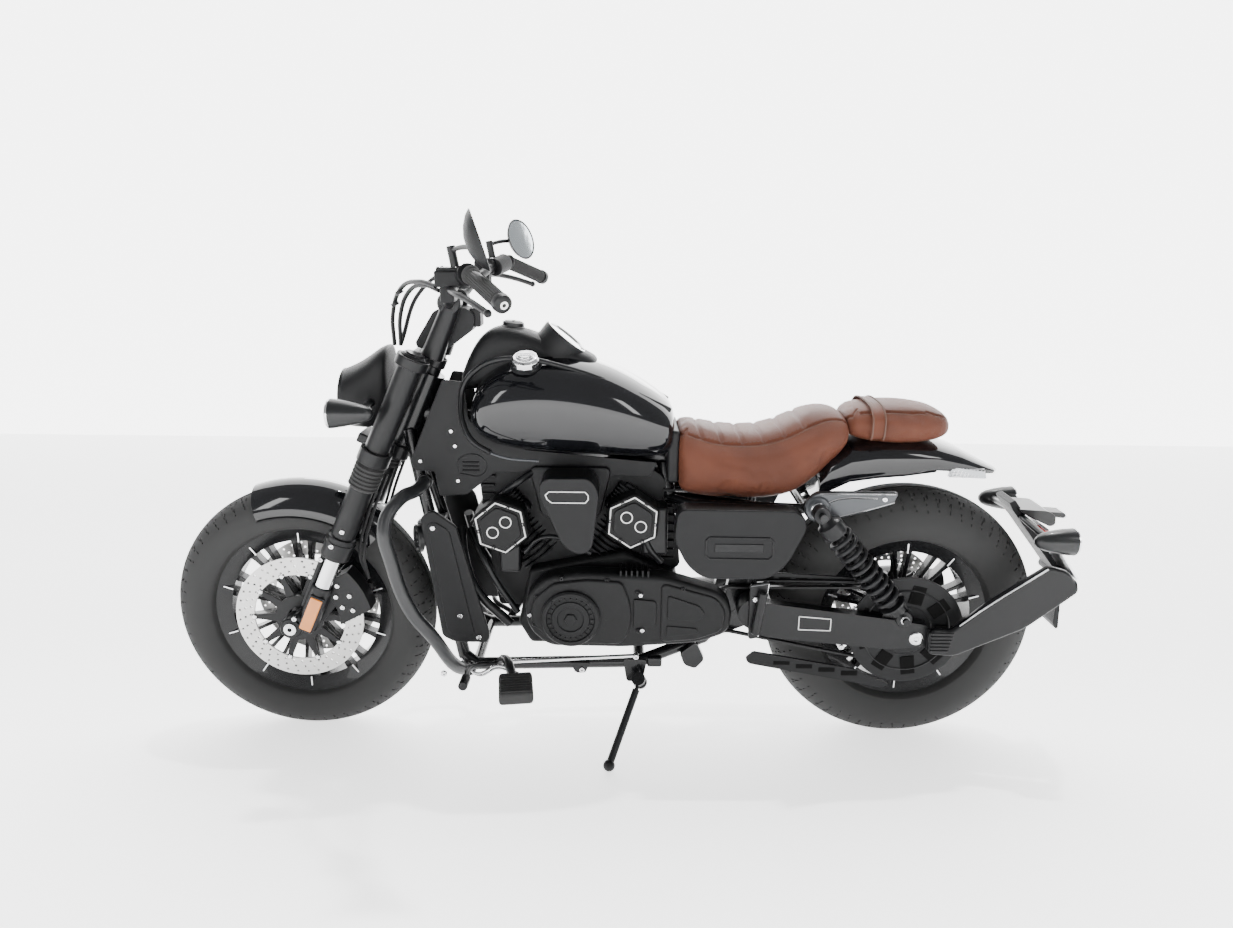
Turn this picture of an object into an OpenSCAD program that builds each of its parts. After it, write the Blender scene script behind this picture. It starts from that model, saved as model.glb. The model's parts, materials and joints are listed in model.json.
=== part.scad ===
// Cruiser motorcycle, parked on its side stand.
// Every module draws in the upright bike frame: x forward from the rear axle, y to the
// bike's left, z up from the ground. place() leans the bike onto its stand.

/* [Stance] */
// Lean to the left on the side stand, in degrees
lean = 10.9; // [10:0.1:12]
// Distance between the two axles
wheelbase = 1511; // [1500:1:1520]
// Angle of the steering axis from the vertical, in degrees
rake = 24.2; // [23:0.1:25.5]

/* [Wheels] */
// Outer radius of the front tyre
front_tyre_r = 328; // [324:1:332]
// Radius of the front tyre's round section
front_tyre_c = 64; // [60:1:66]
// Radius of the front rim's flange
front_rim_r = 230.5; // [228:0.5:232]
// Outer radius of the rear tyre
rear_tyre_r = 336.5; // [333:0.5:340]
// Radius of the rear tyre's round section
rear_tyre_c = 84; // [80:1:86]
// Radius of the rear rim's flange
rear_rim_r = 216.5; // [214:0.5:218]
// Spoke pairs in each cast wheel
spoke_pairs = 10; // [8:1:12]

/* [Fork] */
// Distance of each fork tube from the centre plane
fork_y = 112; // [110:1:116]
// Distance of the fork tubes ahead of the steering axis
fork_offset = 34; // [32:1:36]
// Distance of the front axle ahead of the steering axis
axle_offset = 64; // [62:1:66]
// Radius of the fork's outer tubes
fork_tube_r = 29; // [27:1:29]
// Radius of the front brake discs
front_disc_r = 160; // [155:1:160]

/* [Bars] */
// Distance of each bar end from the centre plane
bar_end_y = 419; // [410:1:430]
// Radius of the handlebar tube
bar_r = 11; // [10:0.5:12.7]
// Radius of the rubber grips
grip_r = 17; // [16:0.5:18]

/* [Body] */
// Half width of the fuel tank
tank_half_w = 155; // [145:1:160]
// Half width of the front seat
seat_half_w = 128; // [120:1:135]
// Half width of the pillion seat
pillion_half_w = 98; // [90:1:100]
// Half width of the rear fender
rear_fender_half_w = 105; // [100:1:106]

/* [Hidden] */
$fn = 48;

// The ground point under the middle of the leaned bike's box
origin_x = 716;
origin_y = 160;

// Axle heights that set both leaned tyres down on the floor
front_axle_z = front_tyre_r - front_tyre_c + front_tyre_c / cos(lean);
rear_axle_z = rear_tyre_r - rear_tyre_c + rear_tyre_c / cos(lean);

// Foot of the perpendicular from the front axle to the steering axis
steer_x = wheelbase - axle_offset * cos(rake);
steer_z = front_axle_z - axle_offset * sin(rake);

// Radial play of a shaft in its bore
play = 0.05;
axle_r = 10;
axle_bore_r = 6;
stem_r = 20;

// Heights along the steering axis, from the axle's level
lower_clamp_s = 470;
head_low_s = 512;
head_top_s = 700;
upper_clamp_s = 718;
fork_top_s = 752;
collar_low_s = 212;
collar_top_s = 268;

// Crankshaft, and the lean of each cylinder from the vertical
crank_x = 825;
crank_z = 400;
front_cyl_angle = 40;
rear_cyl_angle = -34;

// Swingarm
pivot_x = 389;
pivot_z = 396;
pivot_r = 14;
arm_y0 = 136;
arm_y1 = 166;

// Shock absorber ends, one side
shock_y = 192;
shock_top = [255, shock_y, 658];
shock_low = [47, shock_y, 407];

// Side stand: pivot, foot and hinge axis
stand_pivot = [659, 158, 212];
foot_r = 14;
foot_reach_y = 309;
stand_foot = [730, foot_reach_y * cos(lean) - foot_r * sin(lean),
    foot_reach_y * sin(lean) + foot_r * cos(lean)];
stand_folded = [-0.962, 0.253, 0.101];
stand_axis = unit(cross(stand_foot - stand_pivot, stand_folded));

function unit(v) = v / norm(v);

// Left and right copies
module both() {
    children();
    mirror([0, 1, 0]) children();
}

// Round bar from point a to point b
module rod(a, b, r) {
    v = b - a;
    translate(a) rotate([0, acos(v.z / norm(v)), atan2(v.y, v.x)]) cylinder(h = norm(v), r = r);
}

// Round bar through a list of points
module rods(points, r) {
    for (i = [0 : len(points) - 2]) rod(points[i], points[i + 1], r);
    for (i = [1 : len(points) - 2]) translate(points[i]) sphere(r + 0.4);
}

// Smooth curve through a list of points, with some steps between each two
function curve(p, steps) = [
    for (i = [0 : len(p) - 2])
        let (a = p[max(i - 1, 0)], b = p[i], c = p[i + 1], d = p[min(i + 2, len(p) - 1)])
            for (k = [0 : steps - 1])
                let (t = k / steps)
                    b + t * (c - a) / 2 + t * t * (2 * a - 5 * b + 4 * c - d) / 2
                        + t * t * t * (3 * b - a - 3 * c + d) / 2,
    p[len(p) - 1]];

function heading(p, i) = unit(p[min(i + 1, len(p) - 1)] - p[max(i - 1, 0)]);

// A side direction at every point, carried along the curve without twisting
function sides_of(p, side, i = 0) = i == len(p) ? [] :
    let (h = heading(p, i), s = unit(side - (side * h) * h)) concat([s], sides_of(p, s, i + 1));

// Bent tube along a smooth curve through the points
module tube(points, r, steps = 5, sides = 14) {
    p = curve(points, steps);
    side = sides_of(p, [0.3, 0.25, 0.92]);
    rings = len(p);
    polyhedron(
        [for (i = [0 : rings - 1], k = [0 : sides - 1])
            p[i] + r * (cos(360 * k / sides) * side[i]
                + sin(360 * k / sides) * cross(heading(p, i), side[i]))],
        concat(
            [[for (k = [0 : sides - 1]) k]],
            [[for (k = [sides - 1 : -1 : 0]) (rings - 1) * sides + k]],
            [for (i = [0 : rings - 2], k = [0 : sides - 1])
                let (a = i * sides + k, b = i * sides + (k + 1) % sides) [b, a, a + sides]],
            [for (i = [0 : rings - 2], k = [0 : sides - 1])
                let (a = i * sides + k, b = i * sides + (k + 1) % sides) [b, a + sides, b + sides]]));
}

// Side outline of [x, z] points, given thickness from y0 to y1
module slab(points, y0, y1) {
    translate([0, y1, 0]) rotate([90, 0, 0]) linear_extrude(y1 - y0) polygon(points);
}

// Disc across the bike, from y0 to y1
module cross_disc(x, z, r, y0, y1) {
    translate([x, y1, z]) rotate([90, 0, 0]) cylinder(h = y1 - y0, r = r);
}

// A wheel's own frame: its axle along z, its plane on x and y
module at_axle(x, z) {
    translate([x, 0, z]) rotate([90, 0, 0]) children();
}

// The fork's own frame: z up the steering axis, x ahead of it
module fork_frame() {
    translate([steer_x, 0, steer_z]) rotate([0, -rake, 0]) children();
}

// Bike point of a fork-frame point
function fork_point(p) = [steer_x + p.x * cos(rake) - p.z * sin(rake), p.y,
    steer_z + p.x * sin(rake) + p.z * cos(rake)];

// Leans the bike and centres it over the origin
module place() {
    translate([-origin_x, -origin_y, 0]) rotate([-lean, 0, 0]) children();
}

// ---------------------------------------------------------------- wheels

// Cast wheel: barrel with two flanges, hub and pairs of spokes
module cast_wheel(rim_r, half_w, hub_r, hub_half_w) {
    barrel_in = rim_r - 46;
    difference() {
        union() {
            rotate_extrude() polygon([
                [barrel_in, -half_w + 8], [rim_r, -half_w], [rim_r, -half_w + 7],
                [rim_r - 14, -half_w + 16], [rim_r - 14, half_w - 16], [rim_r, half_w - 7],
                [rim_r, half_w], [barrel_in, half_w - 8]]);
            translate([0, 0, -hub_half_w]) cylinder(h = 2 * hub_half_w, r = hub_r);
            for (i = [0 : spoke_pairs - 1], side = [-1, 1])
                rotate([0, 0, 360 / spoke_pairs * (i + 0.5) + side * 6.8])
                    translate([hub_r - 6, -5, -14])
                        rotate([0, 0, side * 0.8]) cube([barrel_in - hub_r + 12, 10, 28]);
        }
        translate([0, 0, -hub_half_w - 1]) cylinder(h = 2 * hub_half_w + 2, r = axle_r + play);
    }
}

// Solid tyre with a round section, seated on its rim
module tyre(r, c, rim_r, half_w) {
    rotate_extrude() difference() {
        intersection() {
            translate([r - c, 0]) circle(c, $fn = 96);
            translate([rim_r - 12, -c]) square([r, 2 * c]);
        }
        polygon([[0, -half_w - 0.5], [rim_r + 0.5, -half_w - 0.5], [rim_r + 0.5, -half_w + 7.5],
            [rim_r - 13.5, -half_w + 16.5], [rim_r - 13.5, half_w - 16.5],
            [rim_r + 0.5, half_w - 7.5], [rim_r + 0.5, half_w + 0.5], [0, half_w + 0.5]]);
    }
}

// Brake disc with its carrier, from y = 0 outwards
module brake_disc(r, band, carrier_r, hub_r) {
    difference() {
        union() {
            cylinder(h = 5, r = r);
            translate([0, 0, -1]) cylinder(h = 7, r = carrier_r);
        }
        translate([0, 0, -2]) cylinder(h = 9, r = hub_r);
        for (i = [0 : 9]) rotate([0, 0, 36 * i])
            translate([(carrier_r + r - band) / 2, 0, -2])
                cylinder(h = 9, r = (r - band - carrier_r) / 2 + 4);
        for (i = [0 : 4]) rotate([0, 0, 72 * i]) translate([(carrier_r + hub_r) / 2, 0, -2])
            cylinder(h = 9, r = (carrier_r - hub_r) / 5);
    }
}

front_rim_half_w = 44;
rear_rim_half_w = 60;
front_disc_y = 67;

module front_rim() {
    color("#1b1c1e") at_axle(wheelbase, front_axle_z)
        cast_wheel(front_rim_r, front_rim_half_w, 42, 60);
}

module front_tyre() {
    color("#151516") at_axle(wheelbase, front_axle_z)
        tyre(front_tyre_r, front_tyre_c, front_rim_r, front_rim_half_w);
}

module front_discs() {
    color("#b9b9b6") both() translate([wheelbase, front_disc_y + 5, front_axle_z]) rotate([90, 0, 0]) {
        brake_disc(front_disc_r, 44, 100, 30);
        difference() {
            translate([0, 0, 6]) cylinder(h = front_disc_y - 61, r = 40);
            translate([0, 0, 5]) cylinder(h = 10, r = 30);
        }
    }
}

module rear_rim() {
    color("#1b1c1e") at_axle(0, rear_axle_z)
        cast_wheel(rear_rim_r, rear_rim_half_w, 48, 88);
}

module rear_tyre() {
    color("#151516") at_axle(0, rear_axle_z)
        tyre(rear_tyre_r, rear_tyre_c, rear_rim_r, rear_rim_half_w);
}

// Toothed belt pulley on the left of the rear hub
pulley_r = 104;
belt_y0 = 96;
belt_y1 = 120;
module rear_pulley() {
    color("#2a2b2d") difference() {
        union() {
            cross_disc(0, rear_axle_z, pulley_r, belt_y0 - 2, belt_y1 + 2);
            cross_disc(0, rear_axle_z, 46, 88.1, belt_y0);
        }
        cross_disc(0, rear_axle_z, axle_r + play, 80, 130);
        for (i = [0 : 4]) at_axle(0, rear_axle_z) rotate([0, 0, 72 * i])
            translate([70, 0, -belt_y1 - 4]) cylinder(h = 34, r = 18);
    }
}

module rear_disc() {
    color("#b9b9b6") mirror([0, 1, 0]) translate([0, 104, rear_axle_z]) rotate([90, 0, 0]) {
        brake_disc(132, 36, 86, 30);
        difference() {
            translate([0, 0, 6]) cylinder(h = 9.9, r = 44);
            translate([0, 0, 5]) cylinder(h = 12, r = 30);
        }
    }
}

// ---------------------------------------------------------------- steering

// Clamp plate around both fork tubes and the stem
module clamp_plate(s, thick) {
    difference() {
        union() {
            both() translate([fork_offset, fork_y, s]) cylinder(h = thick, r = fork_tube_r + 9);
            translate([12, -fork_y, s]) cube([40, 2 * fork_y, thick]);
            translate([0, 0, s]) cylinder(h = thick, r = 25);
        }
        both() translate([fork_offset, fork_y, s - 1]) cylinder(h = thick + 2, r = fork_tube_r);
    }
}

module triple_clamps() {
    color("#202123") fork_frame() {
        clamp_plate(lower_clamp_s, 34);
        clamp_plate(upper_clamp_s, 24);
        translate([0, 0, lower_clamp_s + 2]) cylinder(h = upper_clamp_s - lower_clamp_s, r = stem_r);
    }
}

// Outer tube, collar, bright inner tube, guard and axle leg on each side
module fork() {
    leg_top = 128;
    color("#1d1e20") fork_frame() both() difference() {
        union() {
            translate([fork_offset, fork_y, collar_top_s])
                cylinder(h = fork_top_s - collar_top_s, r = fork_tube_r);
            translate([fork_offset, fork_y, collar_low_s]) cylinder(h = collar_top_s - collar_low_s, r = 35);
            translate([fork_offset, fork_y, leg_top]) cylinder(h = collar_low_s - leg_top, r = 21);
            translate([fork_offset, fork_y, 6]) cylinder(h = leg_top - 6, r = 26);
            translate([fork_offset + 20, fork_y - 14, 60]) cube([12, 28, collar_top_s - 68]);
            translate([axle_offset, fork_y + 26, 0]) rotate([90, 0, 0]) cylinder(h = 52, r = 27);
            translate([fork_offset - 10, fork_y - 24, 0]) cube([axle_offset - fork_offset + 20, 48, 40]);
        }
        translate([axle_offset, fork_y + 40, 0]) rotate([90, 0, 0]) cylinder(h = 80, r = axle_r);
    }
}

module front_axle() {
    color("silver") at_axle(wheelbase, front_axle_z) difference() {
        union() {
            translate([0, 0, -141]) cylinder(h = 282, r = axle_r);
            for (side = [-1, 1]) translate([0, 0, side * 140 - 2]) cylinder(h = 4, r = 15);
            // Spacers between the hub and the legs, one each side
            for (side = [-1, 1]) translate([0, 0, side * 73 - 12.5]) cylinder(h = 25, r = 17);
        }
        translate([0, 0, -150]) cylinder(h = 300, r = axle_bore_r);
    }
}

// Short mudguard over the front tyre
module front_fender() {
    inner_r = front_tyre_r + 11;
    arc_start = 72;
    arc_sweep = 62;
    color("#0e0f11") {
        at_axle(wheelbase, front_axle_z) rotate([0, 0, arc_start])
            rotate_extrude(angle = arc_sweep, $fn = 96) intersection() {
                difference() {
                    translate([inner_r - 72, 0]) circle(76);
                    translate([inner_r - 72, 0]) circle(72);
                }
                translate([front_rim_r + 30, -80]) square([200, 160]);
            }
        // Stays down to the fork legs
        fork_frame() both() translate([fork_offset - 12, 73, 272]) cube([24, 9.8, 40]);
    }
}

// Caliper body straddling a disc, in the wheel's frame
disc_gap = 5.5;
module caliper(r, disc_r, y0, y1, inner, outer) {
    intersection() {
        difference() {
            translate([0, 0, -outer]) cylinder(h = outer - inner, r = disc_r + 34);
            translate([0, 0, -outer - 1]) cylinder(h = outer - inner + 2, r = r);
            translate([0, 0, -y1 - disc_gap]) cylinder(h = y1 - y0 + 2 * disc_gap, r = disc_r + disc_gap);
        }
        translate([0, -56, -outer - 1]) cube([disc_r + 60, 112, outer - inner + 2]);
    }
}

module front_calipers() {
    color("#19191b") both() at_axle(wheelbase, front_axle_z) rotate([0, 0, 152]) {
        caliper(112, front_disc_r, front_disc_y, front_disc_y + 5, 55, 104);
        // Bracket to the fork leg
        translate([50, 6, -100]) rotate([0, 0, -22]) cube([90, 26, 20]);
    }
}

module front_lights() {
    color("#232426") {
        // Headlight nacelle
        hull() {
            translate([1358, 0, 880]) rotate([0, 90, 0]) cylinder(h = 14, r = 69, $fn = 32);
            translate([1300, -70, 800]) cube([30, 140, 30]);
            translate([1264, -70, 985]) cube([30, 140, 22]);
        }
        // Stem from the nacelle to the lower clamp
        fork_frame() translate([fork_offset + 19, -40, lower_clamp_s + 6]) cube([50, 80, 24]);
        // Bullet turn signals on short stalks
        both() {
            rod([1296, 60, 878], [1296, 180, 878], 9);
            translate([1262, 184, 878]) rotate([0, 90, 0]) rotate_extrude()
                polygon([[0, 0], [16, 4], [27, 24], [33, 56], [34, 84], [31, 92], [0, 94]]);
        }
    }
}

bar_clamp = [1105, 50, 1110];
bar_path = [[1105, 0, 1110], [1105, 76, 1110], [1066, 180, 1162], [1017, 285, 1189]];
bar_end = [931, bar_end_y, 1139];
grip_dir = unit(bar_end - bar_path[3]);

module handlebar() {
    riser_top = bar_clamp;
    color("#1a1b1d") both() {
        rods(concat(bar_path, [bar_end - grip_dir * 4]), bar_r);
        rod(fork_point([6, 50, upper_clamp_s + 26]), riser_top, 25);
        cross_disc(riser_top.x, riser_top.z, 27, 25, 75);
    }
}

module grips() {
    color("#111112") both() difference() {
        union() {
            rod(bar_path[3] + grip_dir * 4, bar_end - grip_dir * 14, grip_r);
            rod(bar_end - grip_dir * 14, bar_end, grip_r + 2);
        }
        rod(bar_path[3], bar_end - grip_dir * 4, bar_r);
    }
}

// Switch housings, fluid reservoirs and levers
module hand_controls() {
    perch = [1046, 226, 1176];
    color("#18191b") both() {
        difference() {
            union() {
                rod([1041, 230, 1176], [1021, 275, 1187], 23);
                translate([1040, 214, 1160]) cube([52, 58, 34]);
                translate([1054, 218, 1126]) cube([30, 44, 36]);
            }
            rods(bar_path, bar_r);
        }
        rods([[1068, 246, 1152], [1042, 310, 1150], [963, 411, 1123]], 7);
    }
}

mirror_glass_r = 54;
module mirror_head(p, yaw_in, stretch) {
    translate(p) rotate([0, 0, yaw_in]) rotate([0, -72, 0]) {
        translate([0, 0, -12]) scale([stretch, 0.93, 1]) cylinder(h = 14, r = mirror_glass_r);
        translate([0, 0, -20]) cylinder(h = 8, r = 38);
    }
}

module mirrors() {
    color("#1c1d1f") {
        mirror_head([988, 332, 1254], 9, 1.15);
        mirror_head([984, -334, 1245], -33, 1);
        for (side = [-1, 1]) {
            rod([1050, side * 256, 1202], [1058, side * 256, 1242], 9);
            rod([1056, side * 256, 1233], [1004, side * 326, 1243], 5);
        }
    }
}

// Hoses and cables that turn with the bars
hose_r = 5;
module brake_hoses() {
    color("#0c0c0d") {
        tube([[1099, 236, 1160], [1140, 190, 1166], [1198, 120, 1146], [1232, 70, 1084],
            [1240, 40, 1012]], hose_r, 6, 8);
        tube([[1099, -238, 1160], [1146, -180, 1168], [1204, -90, 1124], [1230, 20, 1012]], hose_r, 8, 8);
        both() tube([fork_point([-6, 95, 452]), fork_point([-12, 100, 330]), fork_point([-28, 100, 240]),
            fork_point([-58, 86, 180])], hose_r, 5, 8);
    }
}

// ---------------------------------------------------------------- frame

rail_y = 118;
downtube_top = [1222, 28, 806];
downtube_low = [1094, 108, 252];
module frame() {
    color("#1f2022") difference() {
        union() {
            fork_frame() translate([0, 0, head_low_s]) cylinder(h = head_top_s - head_low_s, r = 34);
            rod([1200, 0, 850], [604, 0, 738], 24);
            both() {
                rods([downtube_top, downtube_low, [1062, rail_y, 232], [660, rail_y, 244],
                    [500, 76, 290], [396, 76, pivot_z], [372, 80, 634], [590, 44, 648], [606, 20, 728]], 15);
                rods([[590, 50, 648], [540, 100, 648], [276, 118, 646]], 12);
                // Pivot plates
                slab([[470, 300], [440, 470], [374, 470], [374, 340]], 66, 90);
                // Shock mounts
                rod([shock_top.x, 118, shock_top.z], [shock_top.x, 226, shock_top.z], 9);
            }
            rod([pivot_x, -170, pivot_z], [pivot_x, 170, pivot_z], pivot_r);
            rod([660, -rail_y, 244], [660, rail_y, 244], 14);
            rod([276, -118, 646], [276, 118, 646], 10);
            rod([1062, -rail_y, 232], [1062, rail_y, 232], 12);
            stand_bracket();
        }
        fork_frame() translate([0, 0, head_low_s - 1])
            cylinder(h = head_top_s - head_low_s + 2, r = stem_r + play);
    }
}

// The stand's own frame: its hinge pin along z
module stand_frame() {
    translate(stand_pivot) rotate([0, acos(stand_axis.z), atan2(stand_axis.y, stand_axis.x)]) children();
}

stand_head_t = 10;
ear_offset = 9.5;
pin_r = 6;
// Two ears and a pin, carried by the left lower rail
module stand_bracket() {
    stand_frame() {
        for (side = [-1, 1]) translate([0, 0, side * ear_offset - 3.5]) cylinder(h = 7, r = 17);
        translate([0, 0, -ear_offset - 6]) cylinder(h = 2 * ear_offset + 12, r = pin_r);
    }
    for (side = [-1, 1]) {
        shift = stand_axis * side * ear_offset;
        rod(stand_pivot + shift, [stand_pivot.x, rail_y, 244] + shift, 3.4);
    }
}

module side_stand() {
    dir = unit(stand_foot - stand_pivot);
    color("#202123") difference() {
        union() {
            stand_frame() translate([0, 0, -stand_head_t / 2]) cylinder(h = stand_head_t, r = 15);
            rod(stand_pivot + dir * 4, stand_foot, 4.9);
            rod(stand_pivot + dir * 24, stand_foot, 9);
            translate(stand_foot) sphere(foot_r);
        }
        stand_frame() translate([0, 0, -20]) cylinder(h = 40, r = pin_r + play);
    }
}

// ---------------------------------------------------------------- engine

module engine_block() {
    color("#2b2c2e") slab([[560, 300], [600, 276], [930, 276], [960, 330], [930, 470], [700, 520],
        [570, 460]], -90, 90);
}

// Finned barrel, head and the covers on both its sides
module cylinder_unit(angle) {
    translate([crank_x, 0, crank_z]) rotate([0, angle, 0]) {
        translate([0, 0, 112]) cylinder(h = 130, r = 58);
        for (i = [0 : 6]) translate([0, 0, 128 + 15 * i]) cylinder(h = 6, r = 72);
        translate([-70, -84, 236]) cube([140, 168, 78]);
        both() translate([0, 84, 258]) rotate([-90, 0, 0]) cylinder(h = 62, r = 72, $fn = 6);
    }
}

module front_cylinder() {
    color("#1d1e20") difference() {
        cylinder_unit(front_cyl_angle);
        engine_block();
    }
}

module rear_cylinder() {
    color("#1d1e20") difference() {
        cylinder_unit(rear_cyl_angle);
        engine_block();
    }
}

module air_cleaner() {
    color("#242527") {
        slab([[776, 738], [892, 736], [898, 700], [842, 570], [806, 545], [772, 560], [756, 700]], 96, 190);
        slab([[790, 700], [880, 700], [840, 590], [800, 590]], -60, 96);
    }
}

module engine_covers() {
    color("#28292b") {
        // Primary drive cover on the left, with its round lid
        slab([[936, 400], [926, 446], [880, 486], [800, 496], [600, 488], [470, 450], [440, 410],
            [448, 346], [520, 318], [700, 304], [880, 306], [926, 350]], 112, 176);
        cross_disc(crank_x, 386, 70, 176, 190);
        // Joint between the covers and the block
        slab([[920, 400], [870, 460], [600, 462], [590, 330], [860, 320]], 90.2, 112);
        // Cam cover on the right
        slab([[900, 330], [920, 400], [880, 480], [760, 510], [620, 470], [590, 340], [700, 292]],
            -160, -90.2);
        cross_disc(780, 398, 62, -172, -160);
    }
}

module radiator() {
    color("#3a3b3d") {
        translate([1098, 0, 330]) rotate([0, 12, 0]) rotate([90, 0, 90]) linear_extrude(36)
            polygon([[-68, 0], [68, 0], [40, 250], [-40, 250]]);
        // Horn
        rod([1190, 112, 560], [1202, 118, 560], 34);
        rod([1163, 95, 560], [1190, 112, 560], 10);
    }
}

module downtube_covers() {
    color("#232426") both() {
        slab([[1150, 640], [1180, 620], [1140, 316], [1110, 300], [1030, 300], [1024, 320], [1096, 600]],
            128, 140);
        // Plates beside the neck and under the tank
        slab([[1128, 935], [1212, 740], [1204, 714], [1156, 712], [1146, 650], [1080, 655], [1010, 712],
            [640, 704], [622, 740], [760, 752], [930, 768], [1014, 786], [1070, 842], [1080, 930]], 60, 66);
    }
}

// Two header pipes into one long silencer on the right
module exhaust() {
    color("#1e1f21") {
        rods([[1059, -40, 563], [1072, -50, 520], [1030, -120, 450], [1000, -174, 390], [920, -188, 300],
            [780, -200, 262], [566, -216, 266]], 20);
        rods([[608, -50, 584], [592, -100, 540], [590, -176, 470], [582, -206, 360], [576, -212, 280]], 19);
        rod([580, -214, 268], [-160, -222, 322], 50);
        rod([-160, -222, 322], [-196, -222.4, 324.6], 34);
    }
}

// ---------------------------------------------------------------- tank and seats

module fuel_tank() {
    y = tank_half_w - 62;
    color("#0d0e10") difference() {
        hull() both() {
            translate([982, y, 898]) sphere(62, $fn = 28);
            translate([998, y, 858]) sphere(56, $fn = 28);
            translate([930, 62, 950]) sphere(48, $fn = 28);
            translate([800, y, 850]) sphere(62, $fn = 28);
            translate([646, 62, 826]) sphere(58, $fn = 28);
            translate([646, 20, 846]) sphere(52, $fn = 28);
            translate([930, y, 838]) sphere(60, $fn = 28);
            translate([760, y, 818]) sphere(60, $fn = 28);
        }
        slab([[560, 690], [560, 775], [1080, 872], [1080, 690]], -30, 30);
    }
}

// Console along the tank's ridge, with the ignition boss, the gauge and the filler cap
module tank_console() {
    color("#26272a") difference() {
        union() {
            slab([[1088, 908], [1074, 966], [1010, 1044], [960, 1050], [830, 1008], [768, 984], [740, 900]],
                -46, 46);
            translate([966, 0, 1024]) cylinder(h = 42, r = 27);
            translate([861, 0, 1003]) rotate([0, -38, 0]) cylinder(h = 32, r = 58);
            translate([928, 92, 960]) rotate([-24, 0, 0]) cylinder(h = 44, r = 33);
        }
        fuel_tank();
        slab([[700, 700], [700, 940], [1080, 940], [1080, 700]], -60, 60);
    }
}

module front_seat() {
    color("#7a4632") slab([[572, 836], [520, 822], [430, 806], [330, 808], [270, 836], [228, 868],
        [196, 876], [175, 862], [175, 806], [210, 730], [250, 690], [300, 668], [566, 668]],
        -seat_half_w, seat_half_w);
}

module pillion_seat() {
    color("#7a4632") slab([[164, 806], [172, 850], [164, 884], [120, 896], [0, 894], [-60, 880],
        [-84, 850], [-72, 808]], -pillion_half_w, pillion_half_w);
}

module rear_fender() {
    w = rear_fender_half_w;
    color("#0e0f11") difference() {
        slab([[240, 672], [170, 772], [110, 800], [-70, 800], [-150, 766], [-224, 722], [-216, 708],
            [-120, 716], [0, 720], [120, 710], [190, 660]], -w, w);
        slab([[250, 640], [176, 748], [108, 792], [-68, 792], [-146, 759], [-206, 722], [-206, 690]],
            -w + 7, w - 7);
    }
}

module fender_struts() {
    color("#4a4b4d") both() difference() {
        slab([[270, 636], [277, 676], [258, 706], [210, 712], [56, 706], [92, 684], [220, 668], [236, 636]],
            132, 152);
        cross_disc(shock_top.x, shock_top.z, 9, 120, 160);
    }
}

module side_covers() {
    color("#232426") both()
        slab([[574, 640], [560, 664], [300, 668], [280, 640], [350, 520], [384, 498], [540, 498], [566, 530]],
            136, 188);
}

// ---------------------------------------------------------------- rear end

module swingarm() {
    color("#212224") {
        difference() {
            union() {
                both() {
                    slab([[400, 424], [356, 424], [60, 386], [-24, 372], [-34, 320], [60, 308],
                        [352, 336], [400, 350]], arm_y0, arm_y1);
                    cross_disc(pivot_x, pivot_z, 38, 112.2, arm_y1);
                    slab([[86, 380], [70, 424], [30, 424], [10, 380]], arm_y0, 158);
                    rod([shock_low.x, 150, shock_low.z], [shock_low.x, 226, shock_low.z], 8);
                }
                // Cross member between the arms, ahead of the tyre
                slab([[346, 360], [366, 360], [366, 420], [346, 420]], -arm_y0, arm_y0);
            }
            both() cross_disc(0, rear_axle_z, axle_r, 110, 200);
            both() cross_disc(pivot_x, pivot_z, pivot_r, 100, 200);
        }
    }
}

module rear_axle() {
    color("silver") at_axle(0, rear_axle_z) difference() {
        union() {
            translate([0, 0, -168]) cylinder(h = 336, r = axle_r);
            for (side = [-1, 1]) translate([0, 0, side * 167.2 - 1]) cylinder(h = 2, r = 16);
            for (side = [-1, 1]) translate([0, 0, side * 130.5 - 4]) cylinder(h = 8, r = 17);
        }
        translate([0, 0, -180]) cylinder(h = 360, r = axle_bore_r);
    }
}

// Coil springs as ribbed sleeves over the damper bodies
module shock_absorbers() {
    v = shock_top - shock_low;
    length = norm(v);
    color("#161718") both() difference() {
        union() {
            translate(shock_low) rotate([0, acos(v.z / length), atan2(v.y, v.x)]) {
                translate([0, 0, 14]) cylinder(h = length - 28, r = 20);
                translate([0, 0, 34]) cylinder(h = 8, r = 32);
                for (i = [0 : 9]) translate([0, 0, 50 + 20 * i]) cylinder(h = 10, r = 31);
                translate([0, 0, length - 60]) cylinder(h = 34, r = 27);
            }
            for (p = [shock_low, shock_top]) cross_disc(p.x, p.z, 20, shock_y - 16, shock_y + 16);
        }
        cross_disc(shock_low.x, shock_low.z, 8, 150, 240);
        cross_disc(shock_top.x, shock_top.z, 9, 150, 240);
    }
}

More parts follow.
